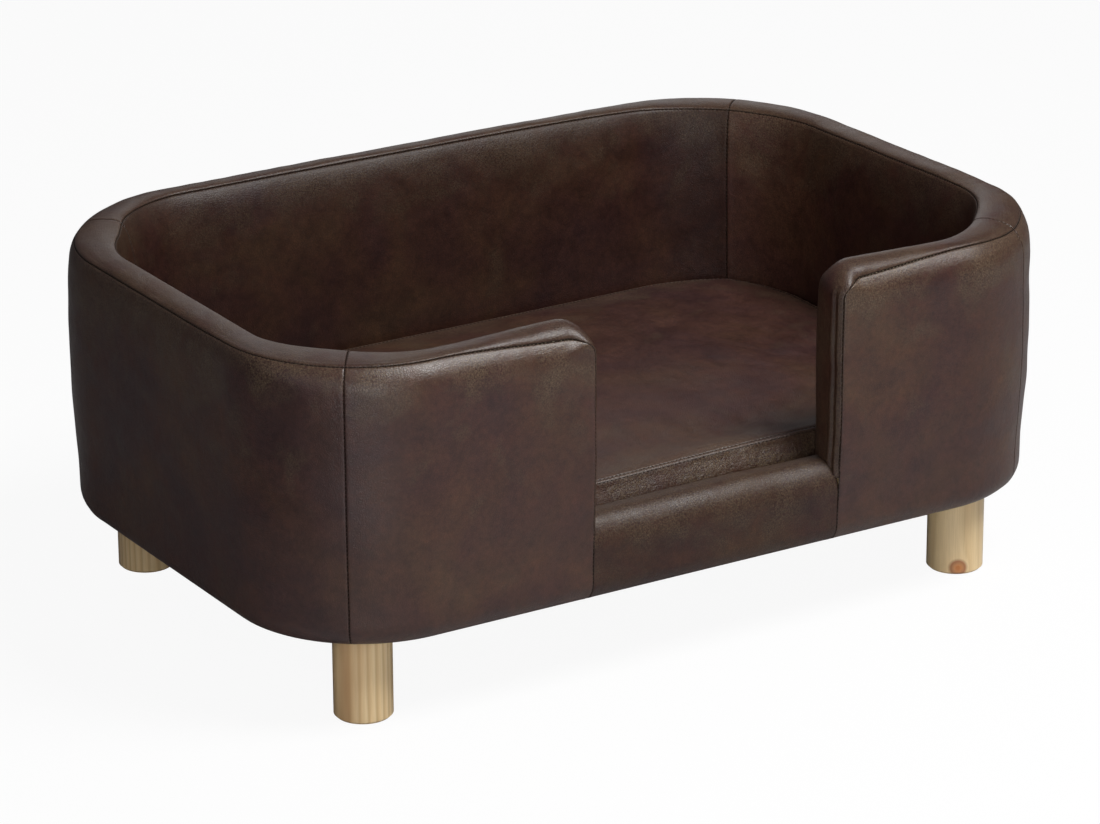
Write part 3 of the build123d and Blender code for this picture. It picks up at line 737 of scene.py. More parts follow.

# Inner covers: the panels towards the cushion, from the inner rim seam down behind the cushion,
# where they are stapled to the deck. On the long back wall they show soft diagonal pulls. Their
# leather is made darker as painted shade, and the panel on the right lighter as painted light.
inner_hide = {"cloud": 7.5, "rubbed": 0.6, "grain": 0.10, "crumple": 0.24, "matt": 0.03}
inner_painted_shade_leather = leather("inner_painted_shade_leather", **inner_hide, lightness=0.6, shine=0.28)
right_painted_light_leather = leather("inner_right_painted_light_leather", **inner_hide, lightness=1.1, shine=0.35)
inner_pulls = [
    ((-60, 274, 395), (20, 274, 330), 11),
    ((-20, 274, 392), (60, 274, 318), 10),
    ((40, 274, 390), (95, 274, 330), 9),
    ((-150, 274, 385), (-60, 274, 318), 13),
    ((180, 274, 360), (120, 274, 290), 15),
    ((255, 270, 392), (262, 268, 320), 9),
    ((280, 262, 390), (286, 262, 310), 8),
    ((-270, 270, 380), (-230, 273, 300), 13),
]


def pulled_fold(points, start, stop, width, deep, high, beside):
    # A dent between two points, with the low fold that stands up beside it
    moved = np.array(beside) * width
    ridge = high * crease(points, start + moved, stop + moved, width)
    return ridge - deep * crease(points, start, stop, width)


inner_lines = []
for name in wall_names:
    points, square = covers[name, False]
    calm = smooth(run_lengths(points, 1) / 30) * smooth((points[..., 2] - 205) / 20)
    uneven = 0.6 * waves(points, 120, 31) + 0.25 * waves(points, 42, 32)
    if name == "back":
        for pull in inner_pulls:
            uneven = uneven + pulled_fold(points, *pull, 0.9, 0.6, (1.6, 0, 0))
    points = points + square * (uneven * calm)[..., None]
    inner_lines.append((points[0], square[0]))
    if name == "back" or name in arm_ends:
        inner_lines.append((points[-1], square[-1]))
    points, seam = sewn(points, square, ["start", "stop", "top"])
    # Painted shade on the inner covers, painted light on the one to the right
    hide_used = right_painted_light_leather if name == "right" else inner_painted_shade_leather
    upholster(f"inner_cover_{name}", points, square, seam, hide_used)

# Sill cover: one panel over the low rail of the way in, sewn to both arms down the front. The
# leather lies loose enough on top to keep one long soft fold near the right arm, and it is worn
# along its upper edge, where the dog steps over.
sill_height, sill_front_round, sill_front_depth, sill_back_round = 188.0, 33.0, 29.0, 13.0
sill_depth = inner_front + half_depth
sill_left, sill_right = arm_ends["front_left"] - end_seam_step, arm_ends["front_right"] + end_seam_step
sill_face_top = sill_height - sill_front_round
sill_face = taper(sill_face_top)
quarter = np.linspace(0, math.pi / 2, 10)[1:]
round_in, round_up = 1 - np.cos(quarter), np.sin(quarter)
sill_depths = [
    foot_profile()[0][::-1],
    taper(np.linspace(wall_foot, sill_face_top, 9)),
    sill_face * (1 - round_in) + sill_front_depth * round_in,
    np.linspace(sill_front_depth, sill_depth - sill_back_round, 5)[1:],
    sill_depth - sill_back_round * (1 - round_up),
    np.full(9, sill_depth),
]
sill_heights = [
    foot_profile()[1][::-1],
    np.linspace(wall_foot, sill_face_top, 9),
    sill_height - sill_front_round * (1 - round_up),
    np.full(4, sill_height),
    sill_height - sill_back_round * round_in,
    np.linspace(sill_height - sill_back_round, 118, 10)[1:],
]
places = sill_left + spread(sill_right - sill_left, 4.0)
x, y = np.meshgrid(places, np.concatenate(sill_depths) - half_depth, indexing="ij")
points = np.stack([x, y, np.tile(np.concatenate(sill_heights), (len(places), 1))], -1)
square = facing(points, np.broadcast_to(np.array([0, -0.6, 1.0]), points.shape))
middle = np.sin(np.clip((x - sill_left) / (sill_right - sill_left), 0, 1) * math.pi)
swell = 1.4 * middle * smooth((points[..., 2] - 118) / 40) * (y < inner_front - 2)
fold = 1.0 * crease(points, (20, -302.5, 189), (152, -300.5, 189), 2.6)
fold = fold - 0.9 * crease(points, (30, -306.5, 188), (150, -305.5, 188), 3.0)
uneven = 0.4 * waves(points, 75, 41) + 0.08 * waves(points, 24, 42)
points = points + square * (swell + fold + uneven * (points[..., 2] > under_edge))[..., None]
points, seam = sewn(points, square, ["start", "stop"])
seam[..., 2] = np.abs(points[..., 2] - sill_height) * 0.8
sill_leather = leather(
    "sill_leather", cloud=8.0, rubbed=0.7, grain=0.12, crumple=0.32, lightness=0.75, matt=0.04, shine=0.34
)
upholster("sill_cover", points, square, seam, sill_leather)
stitches("rim_stitches", seam_lines + band_lines + inner_lines, "sofa", thread)

# Wall foam: soft wraps under the leather, glued over the boards stretch by stretch and over the
# sill rail. They fill the leather out and are seen only where a cover is taken off.
foam, tree, shader = new_finish("wall_foam")
place = own_place(tree)
cells = node(tree, "ShaderNodeTexVoronoi", {"Vector": place, "Scale": 800.0}).outputs["Distance"]
colour = ramp(tree, noise(tree, place, 14.0), (0.3, (0.72, 0.64, 0.42)), (0.7, (0.86, 0.82, 0.68)))
tree.links.new(mix(tree, cells, colour, (0.60, 0.52, 0.34, 1)), shader.inputs["Base Color"])
shader.inputs["Roughness"].default_value = 0.95
relief(tree, shader, cells, 0.0006)
foam_foot, foam_foot_gap, foam_gap = 119.5, 3.9, 2.6
board_gap, board_top = 11.0, 384.0
foam_heights = (foam_foot, 128.0, 160.0, 200.0, 240.0, 270.0)
foam_drops = (90.0, 62.0, 44.0, 30.0, 20.0, 14.0, 10.0)


def swept(name, rings):
    # A closed solid through a row of closed outlines
    number = np.arange(rings.shape[0] * rings.shape[1]).reshape(rings.shape[:2])
    turned = np.roll(number, -1, axis=1)
    quads = np.stack([number[:-1], turned[:-1], turned[1:], number[1:]], -1).reshape(-1, 4)
    mesh = mesh_of(name, rings, quads, number[:1, ::-1], number[-1:])
    mesh.shade_smooth()
    mesh.set_sharp_from_angle(angle=math.radians(40))
    return mesh


for name in wall_names:
    run, arm = runs[name], name in arm_ends
    length = run[4][-1]
    places = np.linspace(0.3, length - (9.0 if arm else 0.3), int(length / 9))
    outer, inner, out, corner = on_wall(run, places)
    level = np.ones_like(places)
    to_end = np.clip(arm_corner - (length - places), 0, arm_corner) if arm else 0 * places
    fall = arm_corner - np.sqrt(arm_corner**2 - to_end**2)
    top = crest(outer) - fall
    ring = []
    for outside, line, inward in ((True, outer, -out), (False, inner, out)):
        radius, reach, start_gap, _ = section(outside, outer)
        skin = []
        for height in foam_heights:
            depth = face_depth(outside, outer, corner, height * level, 200.0 * level, radius, reach)
            skin.append((depth + (foam_foot_gap if height == foam_foot else foam_gap), height * level))
        for gap in foam_drops:
            depth = face_depth(outside, outer, corner, top - gap + fall, gap - start_gap, radius, reach)
            skin.append((depth + foam_gap + 4 * lean(outer) / 5 * (gap < 15), top - gap))
        skin += [(depth + 7.0, top - 7.5), (depth + 13.0, top - 5.5)]
        skin = [(line + inward * depth[:, None], z) for depth, z in skin]
        ring += skin if outside else skin[::-1]
    inner_board, outer_board = inner + out * board_gap, outer - out * board_gap
    foot, beneath = foam_foot * level, np.minimum(board_top, top - 12)
    ring += [(inner_board, foot), (inner_board, beneath), (outer_board, beneath), (outer_board, foot)]
    rings = np.stack([np.concatenate([flat, z[:, None]], 1) for flat, z in ring], 1)
    dress(swept(f"foam_wrap_{name}", rings), "sofa", foam, [f"foam_{name}"])
sill_foam = [(taper(foam_foot) + foam_foot_gap, foam_foot), (taper(128.0) + 3.0, 128.0)]
sill_foam += [(sill_face + 3.0, 152.0), (9.5, 165.0), (17.0, 177.0), (27.0, 184.0), (36.0, 184.0)]
sill_foam += [(45.0, 174.0), (46.2, 118.5), (38.0, 118.5), (38.0, 171.8), (11.0, 171.8), (11.0, foam_foot)]
places = np.linspace(sill_left + 5, sill_right - 5, 24)
rings = np.array([[(x, a - half_depth, z) for a, z in sill_foam] for x in places])
dress(swept("foam_wrap_sill", rings), "sofa", foam, ["foam_sill"])

# Cushion: a loose box cushion, foam in a leather cover of top panel, border and bottom panel.
# The top seam has a narrow flange with a second row of stitches. The cover is puffed as cloth,
# then the seams, the crumpled front and the soft dents of the top are worked in.
cushion_half, cushion_front, cushion_back = 431.0, -270.5, 272.5
cushion_bottom, cushion_seam = 117.9, 190.7
border_height = cushion_seam - cushion_bottom
seam_inset, side_draw = 2.5, 4.0
coarse_x, coarse_y, coarse_border = 72, 46, 7
puff_cap = 6.0


def round_corners(x, y, half_x, low_y, high_y, front_radius, back_radius):
    # Moves the corners of a square grid on to the rounded plan
    for side in (-1, 1):
        for end, radius, edge in ((-1, front_radius, low_y), (1, back_radius, high_y)):
            start_x, start_y = half_x - radius, end * edge - radius
            a = np.clip((side * x - start_x) / radius, 0, 1)
            b = np.clip((end * y - start_y) / radius, 0, 1)
            corner = (a > 0) & (b > 0)
            a, b = on_disc(a, b)
            x = np.where(corner, side * (start_x + radius * a), x)
            y = np.where(corner, end * (start_y + radius * b), y)
    return x, y


def cushion_plan(inset, u, v):
    # Level grid of the cushion at shares u and v of its length and depth, moved in by the inset.
    # Its sides are drawn in a little between the corners.
    half_x, low_y, high_y = cushion_half - inset, cushion_front + inset, cushion_back - inset
    x, y = np.meshgrid((2 * u - 1) * half_x, low_y + v * (high_y - low_y), indexing="ij")
    x, y = round_corners(x, y, half_x, low_y, high_y, 126 - 0.55 * inset, 143 - 0.55 * inset)
    x = x - side_draw * np.sign(x) * np.abs(x / half_x) ** 3 * np.clip(1 - ((y - 1) / 160) ** 2, 0, 1)
    y = y - side_draw * np.sign(y) * np.abs(y / 271) ** 3 * np.clip(1 - (x / 300) ** 2, 0, 1)
    return x, y


def ring_of(grid):
    # The edge of a grid as one line, left open between its last and first points
    return np.concatenate([grid[:-1, 0], grid[-1, :-1], grid[:0:-1, -1], grid[0, :0:-1]])


def closed(line, axis=0):
    # A ring with its first point again at its end
    return np.concatenate([line, np.take(line, [0], axis)], axis)


def cushion_shape(u, v, border):
    # Top grid, rows of the border from the top seam down, and bottom grid
    x, y = cushion_plan(seam_inset, u, v)
    edge = np.minimum(np.minimum(cushion_half - np.abs(x), y - cushion_front), cushion_back - y)
    crown = 12.0 * (1 - (1 - np.clip((edge - 2.0) / 215.0, 0, 1)) ** 2)
    top = np.stack([x, y, cushion_seam + crown], -1)
    inset = seam_inset - 1.7 * np.sin(np.clip(border, 0, 1) * math.pi) + 3.5 * smooth((border - 0.86) / 0.14)
    rows = []
    for drop, moved in zip(border, inset):
        ring = ring_of(np.stack(cushion_plan(moved, u, v), -1))
        rows.append(np.concatenate([ring, np.full((len(ring), 1), cushion_seam - drop * border_height)], 1))
    x, y = cushion_plan(inset[-1], u, v)
    return top, np.array(rows), np.stack([x, y, np.full_like(x, cushion_bottom)], -1)


def cushion_mesh(name, top, rows, bottom):
    # One closed mesh: the top grid, the border rings and the bottom grid
    count = top.shape[0] * top.shape[1]
    number = np.arange(count).reshape(top.shape[:2])
    ring = ring_of(number)
    base = count + (len(rows) - 2) * len(ring)
    rings = [ring, *np.arange(count, base).reshape(-1, len(ring)), base + ring]
    quads = grid_quads(number)
    sides = [np.stack([a, b, np.roll(b, -1), np.roll(a, -1)], -1) for a, b in zip(rings[:-1], rings[1:])]
    points = np.concatenate([part.reshape(-1, 3) for part in (top, rows[1:-1], bottom)])
    return mesh_of(name, points, quads, *sides, quads[:, ::-1] + base), ring, base


def resample(values, places, axis, closed=False):
    # Smooth values at in-between places of a coarse row of values
    values = np.moveaxis(values, axis, 0)
    count = len(values)
    low = np.floor(places).astype(int)
    t = (places - low).reshape(-1, *([1] * (values.ndim - 1)))
    near = [(low + k) % count if closed else np.clip(low + k, 0, count - 1) for k in (-1, 0, 1, 2)]
    a, b, c, d = (values[n] for n in near)
    made = b + 0.5 * t * (c - a + t * (2 * a - 5 * b + 4 * c - d + t * (3 * (b - c) + d - a)))
    return np.moveaxis(made, 0, axis)


even_shares = [np.linspace(0, 1, steps + 1) for steps in (coarse_x, coarse_y, coarse_border)]
top, rows, bottom = cushion_shape(*even_shares)
top_move, rows_move = np.zeros_like(top), np.zeros_like(rows)
mesh, ring, base = cushion_mesh("cushion_trial", top, rows, bottom)
trial = bpy.data.objects.new("cushion_trial", mesh)
scene.collection.objects.link(trial)
before = np.array([v.co for v in mesh.vertices])
held = trial.vertex_groups.new(name="held")
held.add([int(n) for n in ring] + list(range(base, len(before))), 1.0, "REPLACE")
cloth = trial.modifiers.new("puff", "CLOTH")
cloth.settings.quality = 7
cloth.settings.mass = 0.25
cloth.settings.tension_stiffness = 25
cloth.settings.compression_stiffness = 25
cloth.settings.bending_stiffness = 0.6
cloth.settings.use_pressure = True
cloth.settings.uniform_pressure_force = 4.0
cloth.settings.vertex_group_mass = "held"
cloth.settings.effector_weights.gravity = 0
cloth.point_cache.frame_start, cloth.point_cache.frame_end = 1, 20
for number in range(1, 21):
    scene.frame_set(number)
puffed = trial.evaluated_get(bpy.context.evaluated_depsgraph_get())
moved = (np.array([v.co for v in puffed.data.vertices]) - before) * 1000
moved *= puff_cap / (puff_cap + np.linalg.norm(moved, axis=1, keepdims=True))
top_count = top.shape[0] * top.shape[1]
top_move = moved[:top_count].reshape(top.shape)
rows_move[1:-1] = moved[top_count:base].reshape(rows[1:-1].shape)
bpy.data.objects.remove(trial)
scene.frame_set(1)

# The cover itself, on finer grids that close up beside its seams and at the slot of its zip. The
# slot lies in the back border, this far under the seam.
zip_drop, slot_half = 36.5, 236
zip_centre = cushion_seam - zip_drop
flange_width = 5.9
edge_steps = np.array([0, 0.5, 1.1, 1.9, 2.8, 3.8, 4.9, 5.6, 6.3, 7.2, 9.0, 12.0])
top_length, top_depth = 2 * (cushion_half - seam_inset), cushion_back - cushion_front - 2 * seam_inset
fine_x, fine_y = (
    np.concatenate([edge_steps, np.arange(16, stop, 4.4), width - edge_steps[::-1]]) / width
    for width, stop in ((top_length, 843), (top_depth, 521))
)
slot = zip_drop + np.array([-6.6, -6.0, -5.5, -5.0, -4.0, 0.0, 4.0, 5.0, 5.5, 6.0, 6.6])
fine_drops = [edge_steps[:-1], np.arange(12, 29, 3), slot, np.arange(46, 71, 3.2), [border_height]]
fine_border = np.concatenate(fine_drops) / border_height
top, rows, bottom = cushion_shape(fine_x, fine_y, fine_border)
place_x, place_y = fine_x * coarse_x, fine_y * coarse_y
ring_places = np.concatenate(
    [
        place_x[:-1],
        coarse_x + place_y[:-1],
        coarse_x + coarse_y + (coarse_x - place_x[:0:-1]),
        2 * coarse_x + coarse_y + (coarse_y - place_y[:0:-1]),
    ]
)
top = top + resample(resample(top_move, place_x, 0), place_y, 1)
border_move = resample(resample(rows_move, fine_border * coarse_border, 0), ring_places, 1, closed=True)
rows = rows + border_move * (1 - smooth((rows[..., 1:2] - 262) / 6))
# Soft dents of the top: from, to, width and depth
dents = [
    ((250, -60, 202), (330, 60, 202), 16, 2.4),
    ((290, -120, 202), (360, 10, 202), 13, 2.0),
    ((330, -150, 202), (392, -60, 200), 10, 1.9),
    ((180, 90, 202), (300, 150, 202), 18, 2.0),
    ((60, -150, 203), (170, -60, 203), 22, 1.6),
    ((-40, 60, 203), (90, 130, 203), 20, 1.5),
    ((300, 130, 202), (380, 60, 200), 12, 1.9),
    ((120, -215, 203), (150, -150, 203), 9, 1.3),
    ((60, -225, 203), (72, -170, 203), 8, 1.2),
    ((269, 130, 203), (339, -12, 203), 8, 1.9),
    ((215, 67, 203), (303, -68, 203), 8, 2.1),
    ((190, -11, 203), (277, -106, 203), 9, 1.9),
    ((106, -58, 203), (242, -152, 203), 10, 1.7),
    ((329, 158, 203), (371, 57, 203), 8, 1.7),
]


def from_edge(grid):
    # How far each point of a panel lies from its nearest edge
    along, across = run_lengths(grid, 0), run_lengths(grid, 1)
    return np.minimum(np.minimum(along, along[-1:] - along), np.minimum(across, across[:, -1:] - across))


def plump_front(points):
    # The front edge stands up fuller than the rest, more so towards the right
    front = smooth((-175 - points[..., 1]) / 80)
    high = smooth((points[..., 2] - 135) / 50)
    rise = (9 + 5 * smooth((points[..., 0] + 140) / 300)) * front * high
    back = 9.0 * smooth((-235 - points[..., 1]) / 30) * smooth((points[..., 2] - 168) / 22)
    return points + np.stack([0 * rise, back, rise], -1)


skyward = np.array([0, 0, 1.0])
top_square = facing(top, np.broadcast_to(skyward, top.shape))
edge = from_edge(top)
calm = smooth((edge - 9) / 16)
lift = calm * (1.1 * waves(top, 150, 51) + 0.5 * waves(top, 60, 52) + 0.15 * waves(top, 22, 53))
for start, stop, width, deep in dents:
    lift = lift + calm * pulled_fold(top, start, stop, width, deep, 0.6 * deep, (1.5, -1, 0))
flange = 0.3 * bell(edge - 3.0, 1.6) - 0.6 * bell(edge - flange_width, 0.8) + 0.12 * bell(edge - 9.5, 3.0)
unsewn = top + top_square * lift[..., None]
top = plump_front(unsewn + top_square * (flange - 1.3 * bell(edge, 0.75))[..., None])
top_seam = np.stack([run_lengths(top, 0), np.minimum(edge, np.abs(edge - flange_width)), edge], -1)

# The border is crumpled in front, most of all near its middle, and lies flat in the zip's slot.
# It is worn all over, as the rim is at this distance from its seam.
drop = fine_border[:, None] * border_height
row_square = unit(np.cross(np.roll(rows, -1, 1) - np.roll(rows, 1, 1), skyward))
border_wear = np.array(25.0)
border_marks = [run_lengths(rows, 1), np.minimum(drop, border_height - drop), border_wear]
border_seam = np.stack(np.broadcast_arrays(*border_marks), -1)
front = smooth((-225 - rows[..., 1]) / 30)
crumpled = front * (0.35 + 0.65 * bell(rows[..., 0] - 95, 90)) * smooth(drop / 6) * smooth((70 - drop) / 20)
fine_folds = 0.55 * waves(rows * (1, 1, 0.4), 13, 61, 14) + 0.45 * waves(rows * (1, 1, 0.3), 8.5, 62, 14)
side_swell = 0.5 * waves(rows, 70, 63) * smooth(drop / 12) * smooth((66 - drop) / 20)
lift = crumpled * fine_folds * 1.1 + side_swell + 0.4 * bell(drop - 3.6, 2.2) - 1.3 * bell(drop, 0.75)
lift = lift + 0.8 * crumpled * bell(drop - 24, 14)
slot_floor, back_limit = 264.2, 272.6
in_slot = smooth((5.6 - np.abs(rows[..., 2] - zip_centre)) / 0.5) * (rows[..., 1] > 200)
in_slot = in_slot * smooth((slot_half - np.abs(rows[..., 0])) / 1.2)
rows = plump_front(rows + row_square * (lift * (1 - in_slot))[..., None])
rows[..., 1] = rows[..., 1] * (1 - in_slot) + slot_floor * in_slot
beside_slot = (rows[..., 1] > 255) & (np.abs(rows[..., 0]) < slot_half) & (in_slot < 0.5)
rows[..., 1] = np.where(beside_slot, np.minimum(rows[..., 1], back_limit), rows[..., 1])
rows[0] = ring_of(top)
bottom_edge = from_edge(bottom)
uneven = 0.25 * (1 + waves(bottom, 90, 71)) * smooth(bottom_edge / 40)
bottom[..., 2] = np.maximum(bottom[..., 2] + (1.2 * bell(bottom_edge, 1.6) + uneven), cushion_bottom)
rows[-1] = ring_of(bottom)

cushion_leather = leather(
    "cushion_leather", cloud=7.0, rubbed=0.5, grain=0.12, crumple=0.40, lightness=0.94, matt=0.07
)
border_leather = leather(
    "border_leather", cloud=9.0, rubbed=1.0, grain=0.2, crumple=1.4, lightness=0.85, matt=0.06, shine=0.30
)
bottom_seam = np.stack([run_lengths(bottom, 0), bottom_edge, bottom_edge], -1)
panels = {
    "cushion_top": (top, top_square, top_seam, cushion_leather),
    "cushion_border": (*(closed(part, 1) for part in (rows, row_square, border_seam)), border_leather),
    "cushion_bottom": (bottom, np.broadcast_to(-skyward, bottom.shape), bottom_seam, cushion_leather),
}
for name, (points, square, seam, material) in panels.items():
    upholster(name, points, square, seam, material, "cushion")
# Three rows of stitches: inside the flange, and along the top and the bottom seam
flange_step = slice(7, -7)
lines = [[closed(ring_of(grid[flange_step, flange_step])) for grid in (plump_front(unsewn), top_square)]]
lines += [(closed(rows[k]), closed(row_square[k]) * 0.7 + skyward * tilt) for k, tilt in ((0, 0.7), (-1, -0.7))]
stitches("cushion_stitches", lines, "cushion", thread, pitch=5.0, length=3.4, sink=0.1)

# Cushion core: one block of soft foam, cut to the cushion's plan with its crown and its zip side,
# a little smaller all round than the cover that it fills.
core_top, core_rows, core_bottom = cushion_shape(*even_shares)
core_top[..., 2] -= 3.5
mesh, ring, base = cushion_mesh("cushion_foam_core", core_top, core_rows, core_bottom)
points = np.array([v.co for v in mesh.vertices])
centre = points.mean(0)
points[:, :2] = centre[:2] + (points[:, :2] - centre[:2]) * (0.968, 0.955)
points[:, 2] = np.clip(points[:, 2], 0.1196, None)
mesh.vertices.foreach_set("co", points.ravel())
mesh.shade_smooth()
dress(mesh, "cushion", foam, ["cushion_core"])

# Zip: two woven tapes sewn behind the slot of the rear border, a spiral coil of nylon teeth, and
# an enamelled slider with its pull tab.
zip_half, zip_floor, tape_step, tooth_step = 235.0, 264.8, 10, 1.6


def block(low, high, corner):
    # A bar along the bed, its long edges taken off by a small flat
    (x0, y0, z0), (x1, y1, z1) = low, high
    c = corner
    lower = [(y0, z0 + c), (y0 + c, z0), (y1 - c, z0), (y1, z0 + c)]
    upper = [(y1, z1 - c), (y1 - c, z1), (y0 + c, z1), (y0, z1 - c)]
    return [[(x, y, z) for y, z in lower + upper] for x in (x0, x1)]


def blocks_mesh(name, solids):
    number = np.arange(len(solids) * 16).reshape(-1, 2, 8)
    turned = np.roll(number, -1, axis=2)
    quads = np.stack([number[:, 0], number[:, 1], turned[:, 1], turned[:, 0]], -1).reshape(-1, 4)
    caps = np.concatenate([number[:, 0], number[:, 1, ::-1]])
    return mesh_of(name, np.array(solids), quads[:, ::-1], caps[:, ::-1])


def plain_finish(name, light, dark, scale, rough, metallic=0.0, bump=0.0001, stretch=(1, 1, 1)):
    # A finish with slow tone changes and a fine surface, stretched along its grain
    made, tree, shader = new_finish(name)
    spot = node(tree, "ShaderNodeMapping", {"Vector": own_place(tree), "Scale": stretch}).outputs[0]
    grain = noise(tree, spot, scale, 5.0, 0.6, 0.4)
    fine = noise(tree, spot, scale * 7, 3.0, 0.6)
    tree.links.new(ramp(tree, grain, (0.3, dark), (0.7, light)), shader.inputs["Base Color"])
    tree.links.new(math_node(tree, "MULTIPLY_ADD", fine, 0.25, rough), shader.inputs["Roughness"])
    shader.inputs["Metallic"].default_value = metallic
    relief(tree, shader, fine, bump)
    return made


def refinish(name, material):
    # Gives a solid that stays as it was modelled its finish
    part = frame["nodes"][name]
    part.data.materials.clear()
    part.data.materials.append(material)
    return part


cloth = plain_finish(
    "woven_cloth", (0.030, 0.028, 0.027), (0.014, 0.013, 0.013), 700.0, 0.75, bump=0.0003, stretch=(1, 1, 0.3)
)
solids = []
for side in (-1, 1):
    low_z, high_z = sorted((zip_centre + side * 1.9, zip_centre + side * 9.0))
    for x in np.arange(-zip_half, zip_half, tape_step):
        solids.append(block((x, zip_floor, low_z), (x + tape_step, zip_floor + 0.85, high_z), 0.2))
dress(blocks_mesh("zip_tape_strips", solids), "cushion", cloth, ["zip_tapes"])
teeth = plain_finish("zip_nylon", (0.050, 0.036, 0.028), (0.026, 0.019, 0.015), 300.0, 0.32)
solids = []
for k in range(int(2 * zip_half / tooth_step)):
    x = -zip_half + 0.3 + k * tooth_step
    z = zip_centre + (0.25 if k % 2 else -0.25)
    solids.append(block((x, zip_floor + 0.1, z - 1.45), (x + 1.05, zip_floor + 2.5, z + 1.45), 0.45))
core = (-zip_half, zip_floor, zip_centre - 1.1), (zip_half, zip_floor + 0.9, zip_centre + 1.1)
solids.append(block(*core, 0.2))
dress(blocks_mesh("zip_coil_teeth", solids), "cushion", teeth, ["zip_coil"])
enamel = plain_finish("zip_enamel", (0.075, 0.055, 0.042), (0.045, 0.032, 0.026), 120.0, 0.25, metallic=0.6)
for name in ("zip_slider", "zip_pull"):
    soft_edges = refinish(name, enamel).modifiers.new("soft_edges", "BEVEL")
    soft_edges.width = 0.0004
    soft_edges.segments = 3

# Legs: turned pine, cut from one board so that the growth rings run up them as stripes, clear
# lacquered, screwed into the base. One has a small knot low down at the front.
pine, given, sent = new_group(
    "pine_rings",
    [
        ("Shift", "Vector", (0, 0, 0)),
        ("Knot", "Vector", (0, 0, -9)),
        ("Warm", "Float", 0.5),
        ("Density", "Float", 200.0),
        ("Strength", "Float", 0.8),
    ],
)
place = own_place(pine)
offset = vectors(pine, "SUBTRACT", place, given["Shift"])[0]
from_knot = vectors(pine, "DISTANCE", place, given["Knot"])["Value"]
long, longer = (
    node(pine, "ShaderNodeMapping", {"Vector": offset, "Scale": (1, 1, squeeze)}).outputs[0]
    for squeeze in (0.07, 0.03)
)
wander = noise(pine, long, 26.0, 3.0, 0.5)
flat = node(pine, "ShaderNodeSeparateXYZ", {0: offset}).outputs
squares = [math_node(pine, "POWER", flat[k], 2.0) for k in (0, 1)]
radius = math_node(pine, "SQRT", math_node(pine, "ADD", *squares))
radius = math_node(pine, "MULTIPLY_ADD", wander, 0.010, radius)
radius = math_node(pine, "MULTIPLY_ADD", fade(pine, from_knot, 110.0), 0.014, radius)
rings = math_node(pine, "FRACT", math_node(pine, "MULTIPLY", radius, given["Density"]))
tone = ramp(
    pine,
    rings,
    (0.0, (0.60, 0.42, 0.21)),
    (0.14, (0.84, 0.64, 0.37)),
    (0.62, (0.80, 0.57, 0.29)),
    (0.86, (0.56, 0.33, 0.13)),
    (1.0, (0.58, 0.38, 0.17)),
)
colour = mix(pine, given["Strength"], (0.93, 0.71, 0.40, 1), tone)
pores = noise(pine, longer, 900.0, 3.0, 0.6)
colour = mix(pine, greys(pine, pores, (0.35, 0.16), (0.6, 0)), colour, (0.42, 0.25, 0.11, 1))
streak = greys(pine, noise(pine, long, 34.0, 2.0, 0.5), (0.5, 0), (0.72, 1))
colour = mix(pine, math_node(pine, "MULTIPLY", streak, given["Warm"]), colour, (0.50, 0.27, 0.11, 1))
knot_core = greys(pine, math_node(pine, "MULTIPLY_ADD", wander, 0.004, from_knot), (0.006, 1), (0.0115, 0))
knot_ring = greys(pine, from_knot, (0.0055, 0), (0.0085, 1), (0.0115, 0))
colour = mix(pine, knot_core, colour, (0.56, 0.20, 0.055, 1))
colour = mix(pine, knot_ring, colour, (0.30, 0.075, 0.018, 1))
pine.links.new(colour, sent["Color"])
pine.links.new(math_node(pine, "MULTIPLY_ADD", pores, 0.25, 0.28), sent["Roughness"])
height = math_node(pine, "MULTIPLY_ADD", rings, -0.06, math_node(pine, "MULTIPLY", pores, 0.10))
raised = node(pine, "ShaderNodeBump", {"Distance": 0.001, "Height": height})
pine.links.new(raised.outputs[0], sent["Normal"])
no_knot = (0, 0, -9)
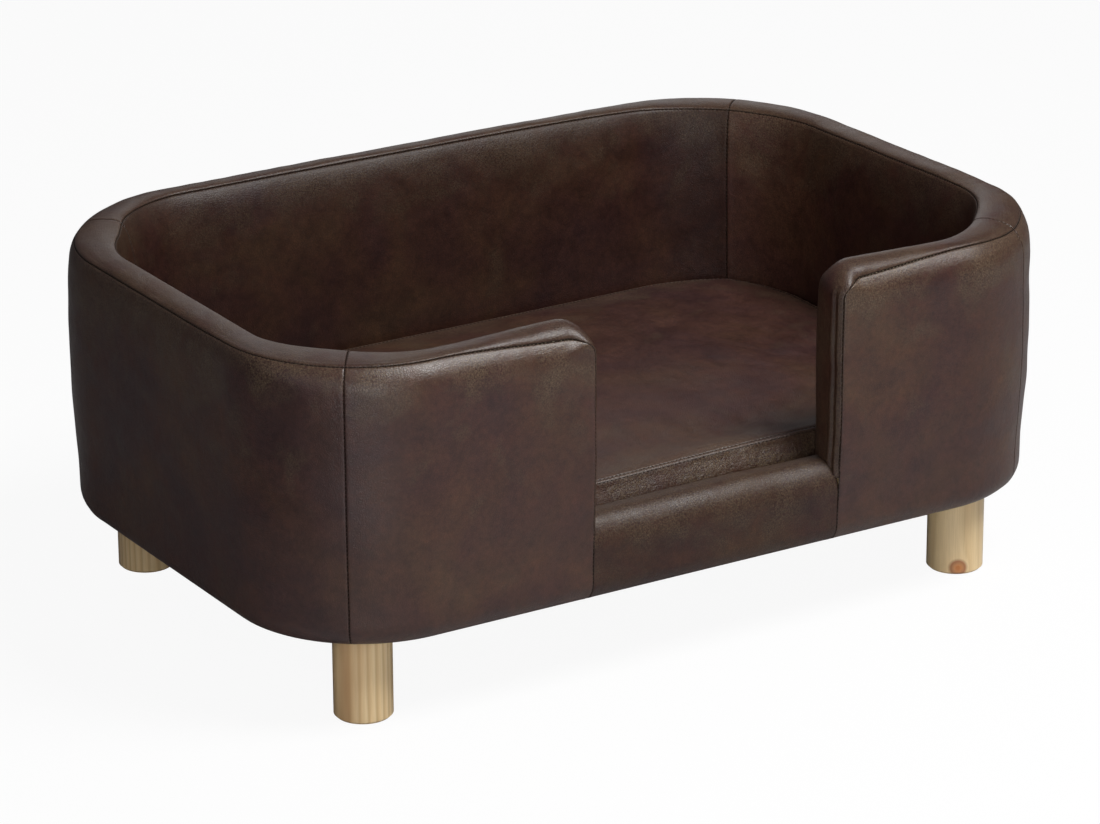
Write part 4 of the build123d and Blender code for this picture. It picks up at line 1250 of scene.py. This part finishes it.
# Middle of the growth rings, place of the knot, warm streaks, rings to a metre, their contrast
legs = {
    "leg_front_left": ((-0.330, -0.256, 0.0), no_knot, 0.9, 130.0, 0.6),
    "leg_front_right": ((0.44, -0.18, 0.0), (0.360, -0.268, 0.008), 0.1, 90.0, 0.3),
    "leg_back_left": ((-0.40, 0.26, 0.0), no_knot, 0.5, 180.0, 0.6),
    "leg_back_right": ((0.33, 0.22, 0.0), no_knot, 0.5, 160.0, 0.6),
}
lacquer = {"Coat Weight": 0.25, "Coat Roughness": 0.2}
for name, cut in legs.items():
    values = dict(zip(("Shift", "Knot", "Warm", "Density", "Strength"), cut))
    refinish(name, grouped_finish(f"pine_{name}", pine, values, lacquer))

# Frame inside: plywood base and rails, sawn posts, hardboard skins, zinc plated fasteners. They
# keep their modelled shapes and get the finish of their own stock.
stock_looks = {
    "plywood": ("raw_plywood", (0.66, 0.50, 0.32), (0.50, 0.35, 0.20), 30.0, 0.55, 0.0, 0.0002, (0.2, 1, 1)),
    "timber": ("sawn_timber", (0.72, 0.56, 0.36), (0.55, 0.38, 0.20), 60.0, 0.6, 0.0, 0.0003, (1, 1, 0.12)),
    "hardboard": ("hardboard_skin", (0.40, 0.26, 0.15), (0.28, 0.17, 0.09), 90.0, 0.45),
    "zinc_steel": ("zinc_plate", (0.66, 0.66, 0.63), (0.52, 0.52, 0.50), 160.0, 0.28, 1.0, 0.00005),
}
stock = {slot: plain_finish(*look) for slot, look in stock_looks.items()}
for row in frame["record"]["subparts"]:
    if row.get("material_slot") in stock:
        refinish(row["node"], stock[row["material_slot"]])

# Cloths: a black lining stapled on the deck under the cushion, and a black dust cover stapled
# under the base, both cut to the rounded plan and pulled flat with slight ripples.
cloths = {
    # Half length, front, back and corner radii, then the height, the thickness and the side up
    "deck_lining": ((433.0, -272.5, 274.5, 127.0, 144.0), 117.1, 0.6, 1),
    "dust_cover": ((445.0, -282.5, 282.5, 118.0, 138.0), 100.5, 0.5, -1),
}
for name, (plan, height, thick, way) in cloths.items():
    half_x, low_y, high_y, front_radius, back_radius = plan
    x, y = np.meshgrid(np.linspace(-half_x, half_x, 120), np.linspace(low_y, high_y, 78), indexing="ij")
    x, y = round_corners(x, y, *plan)
    ripple = 0.12 * waves(np.stack([x, y, 0 * x], -1), 80, 81)
    points = np.stack([x, y, height + np.clip(ripple, -0.2, 0.2)], -1)
    square = np.broadcast_to(np.array([0, 0, float(way)]), points.shape)
    mesh = shell(f"{name}_cloth", points, square, np.zeros_like(points), thickness=thick)
    piece = dress(mesh, "sofa", cloth, [name])
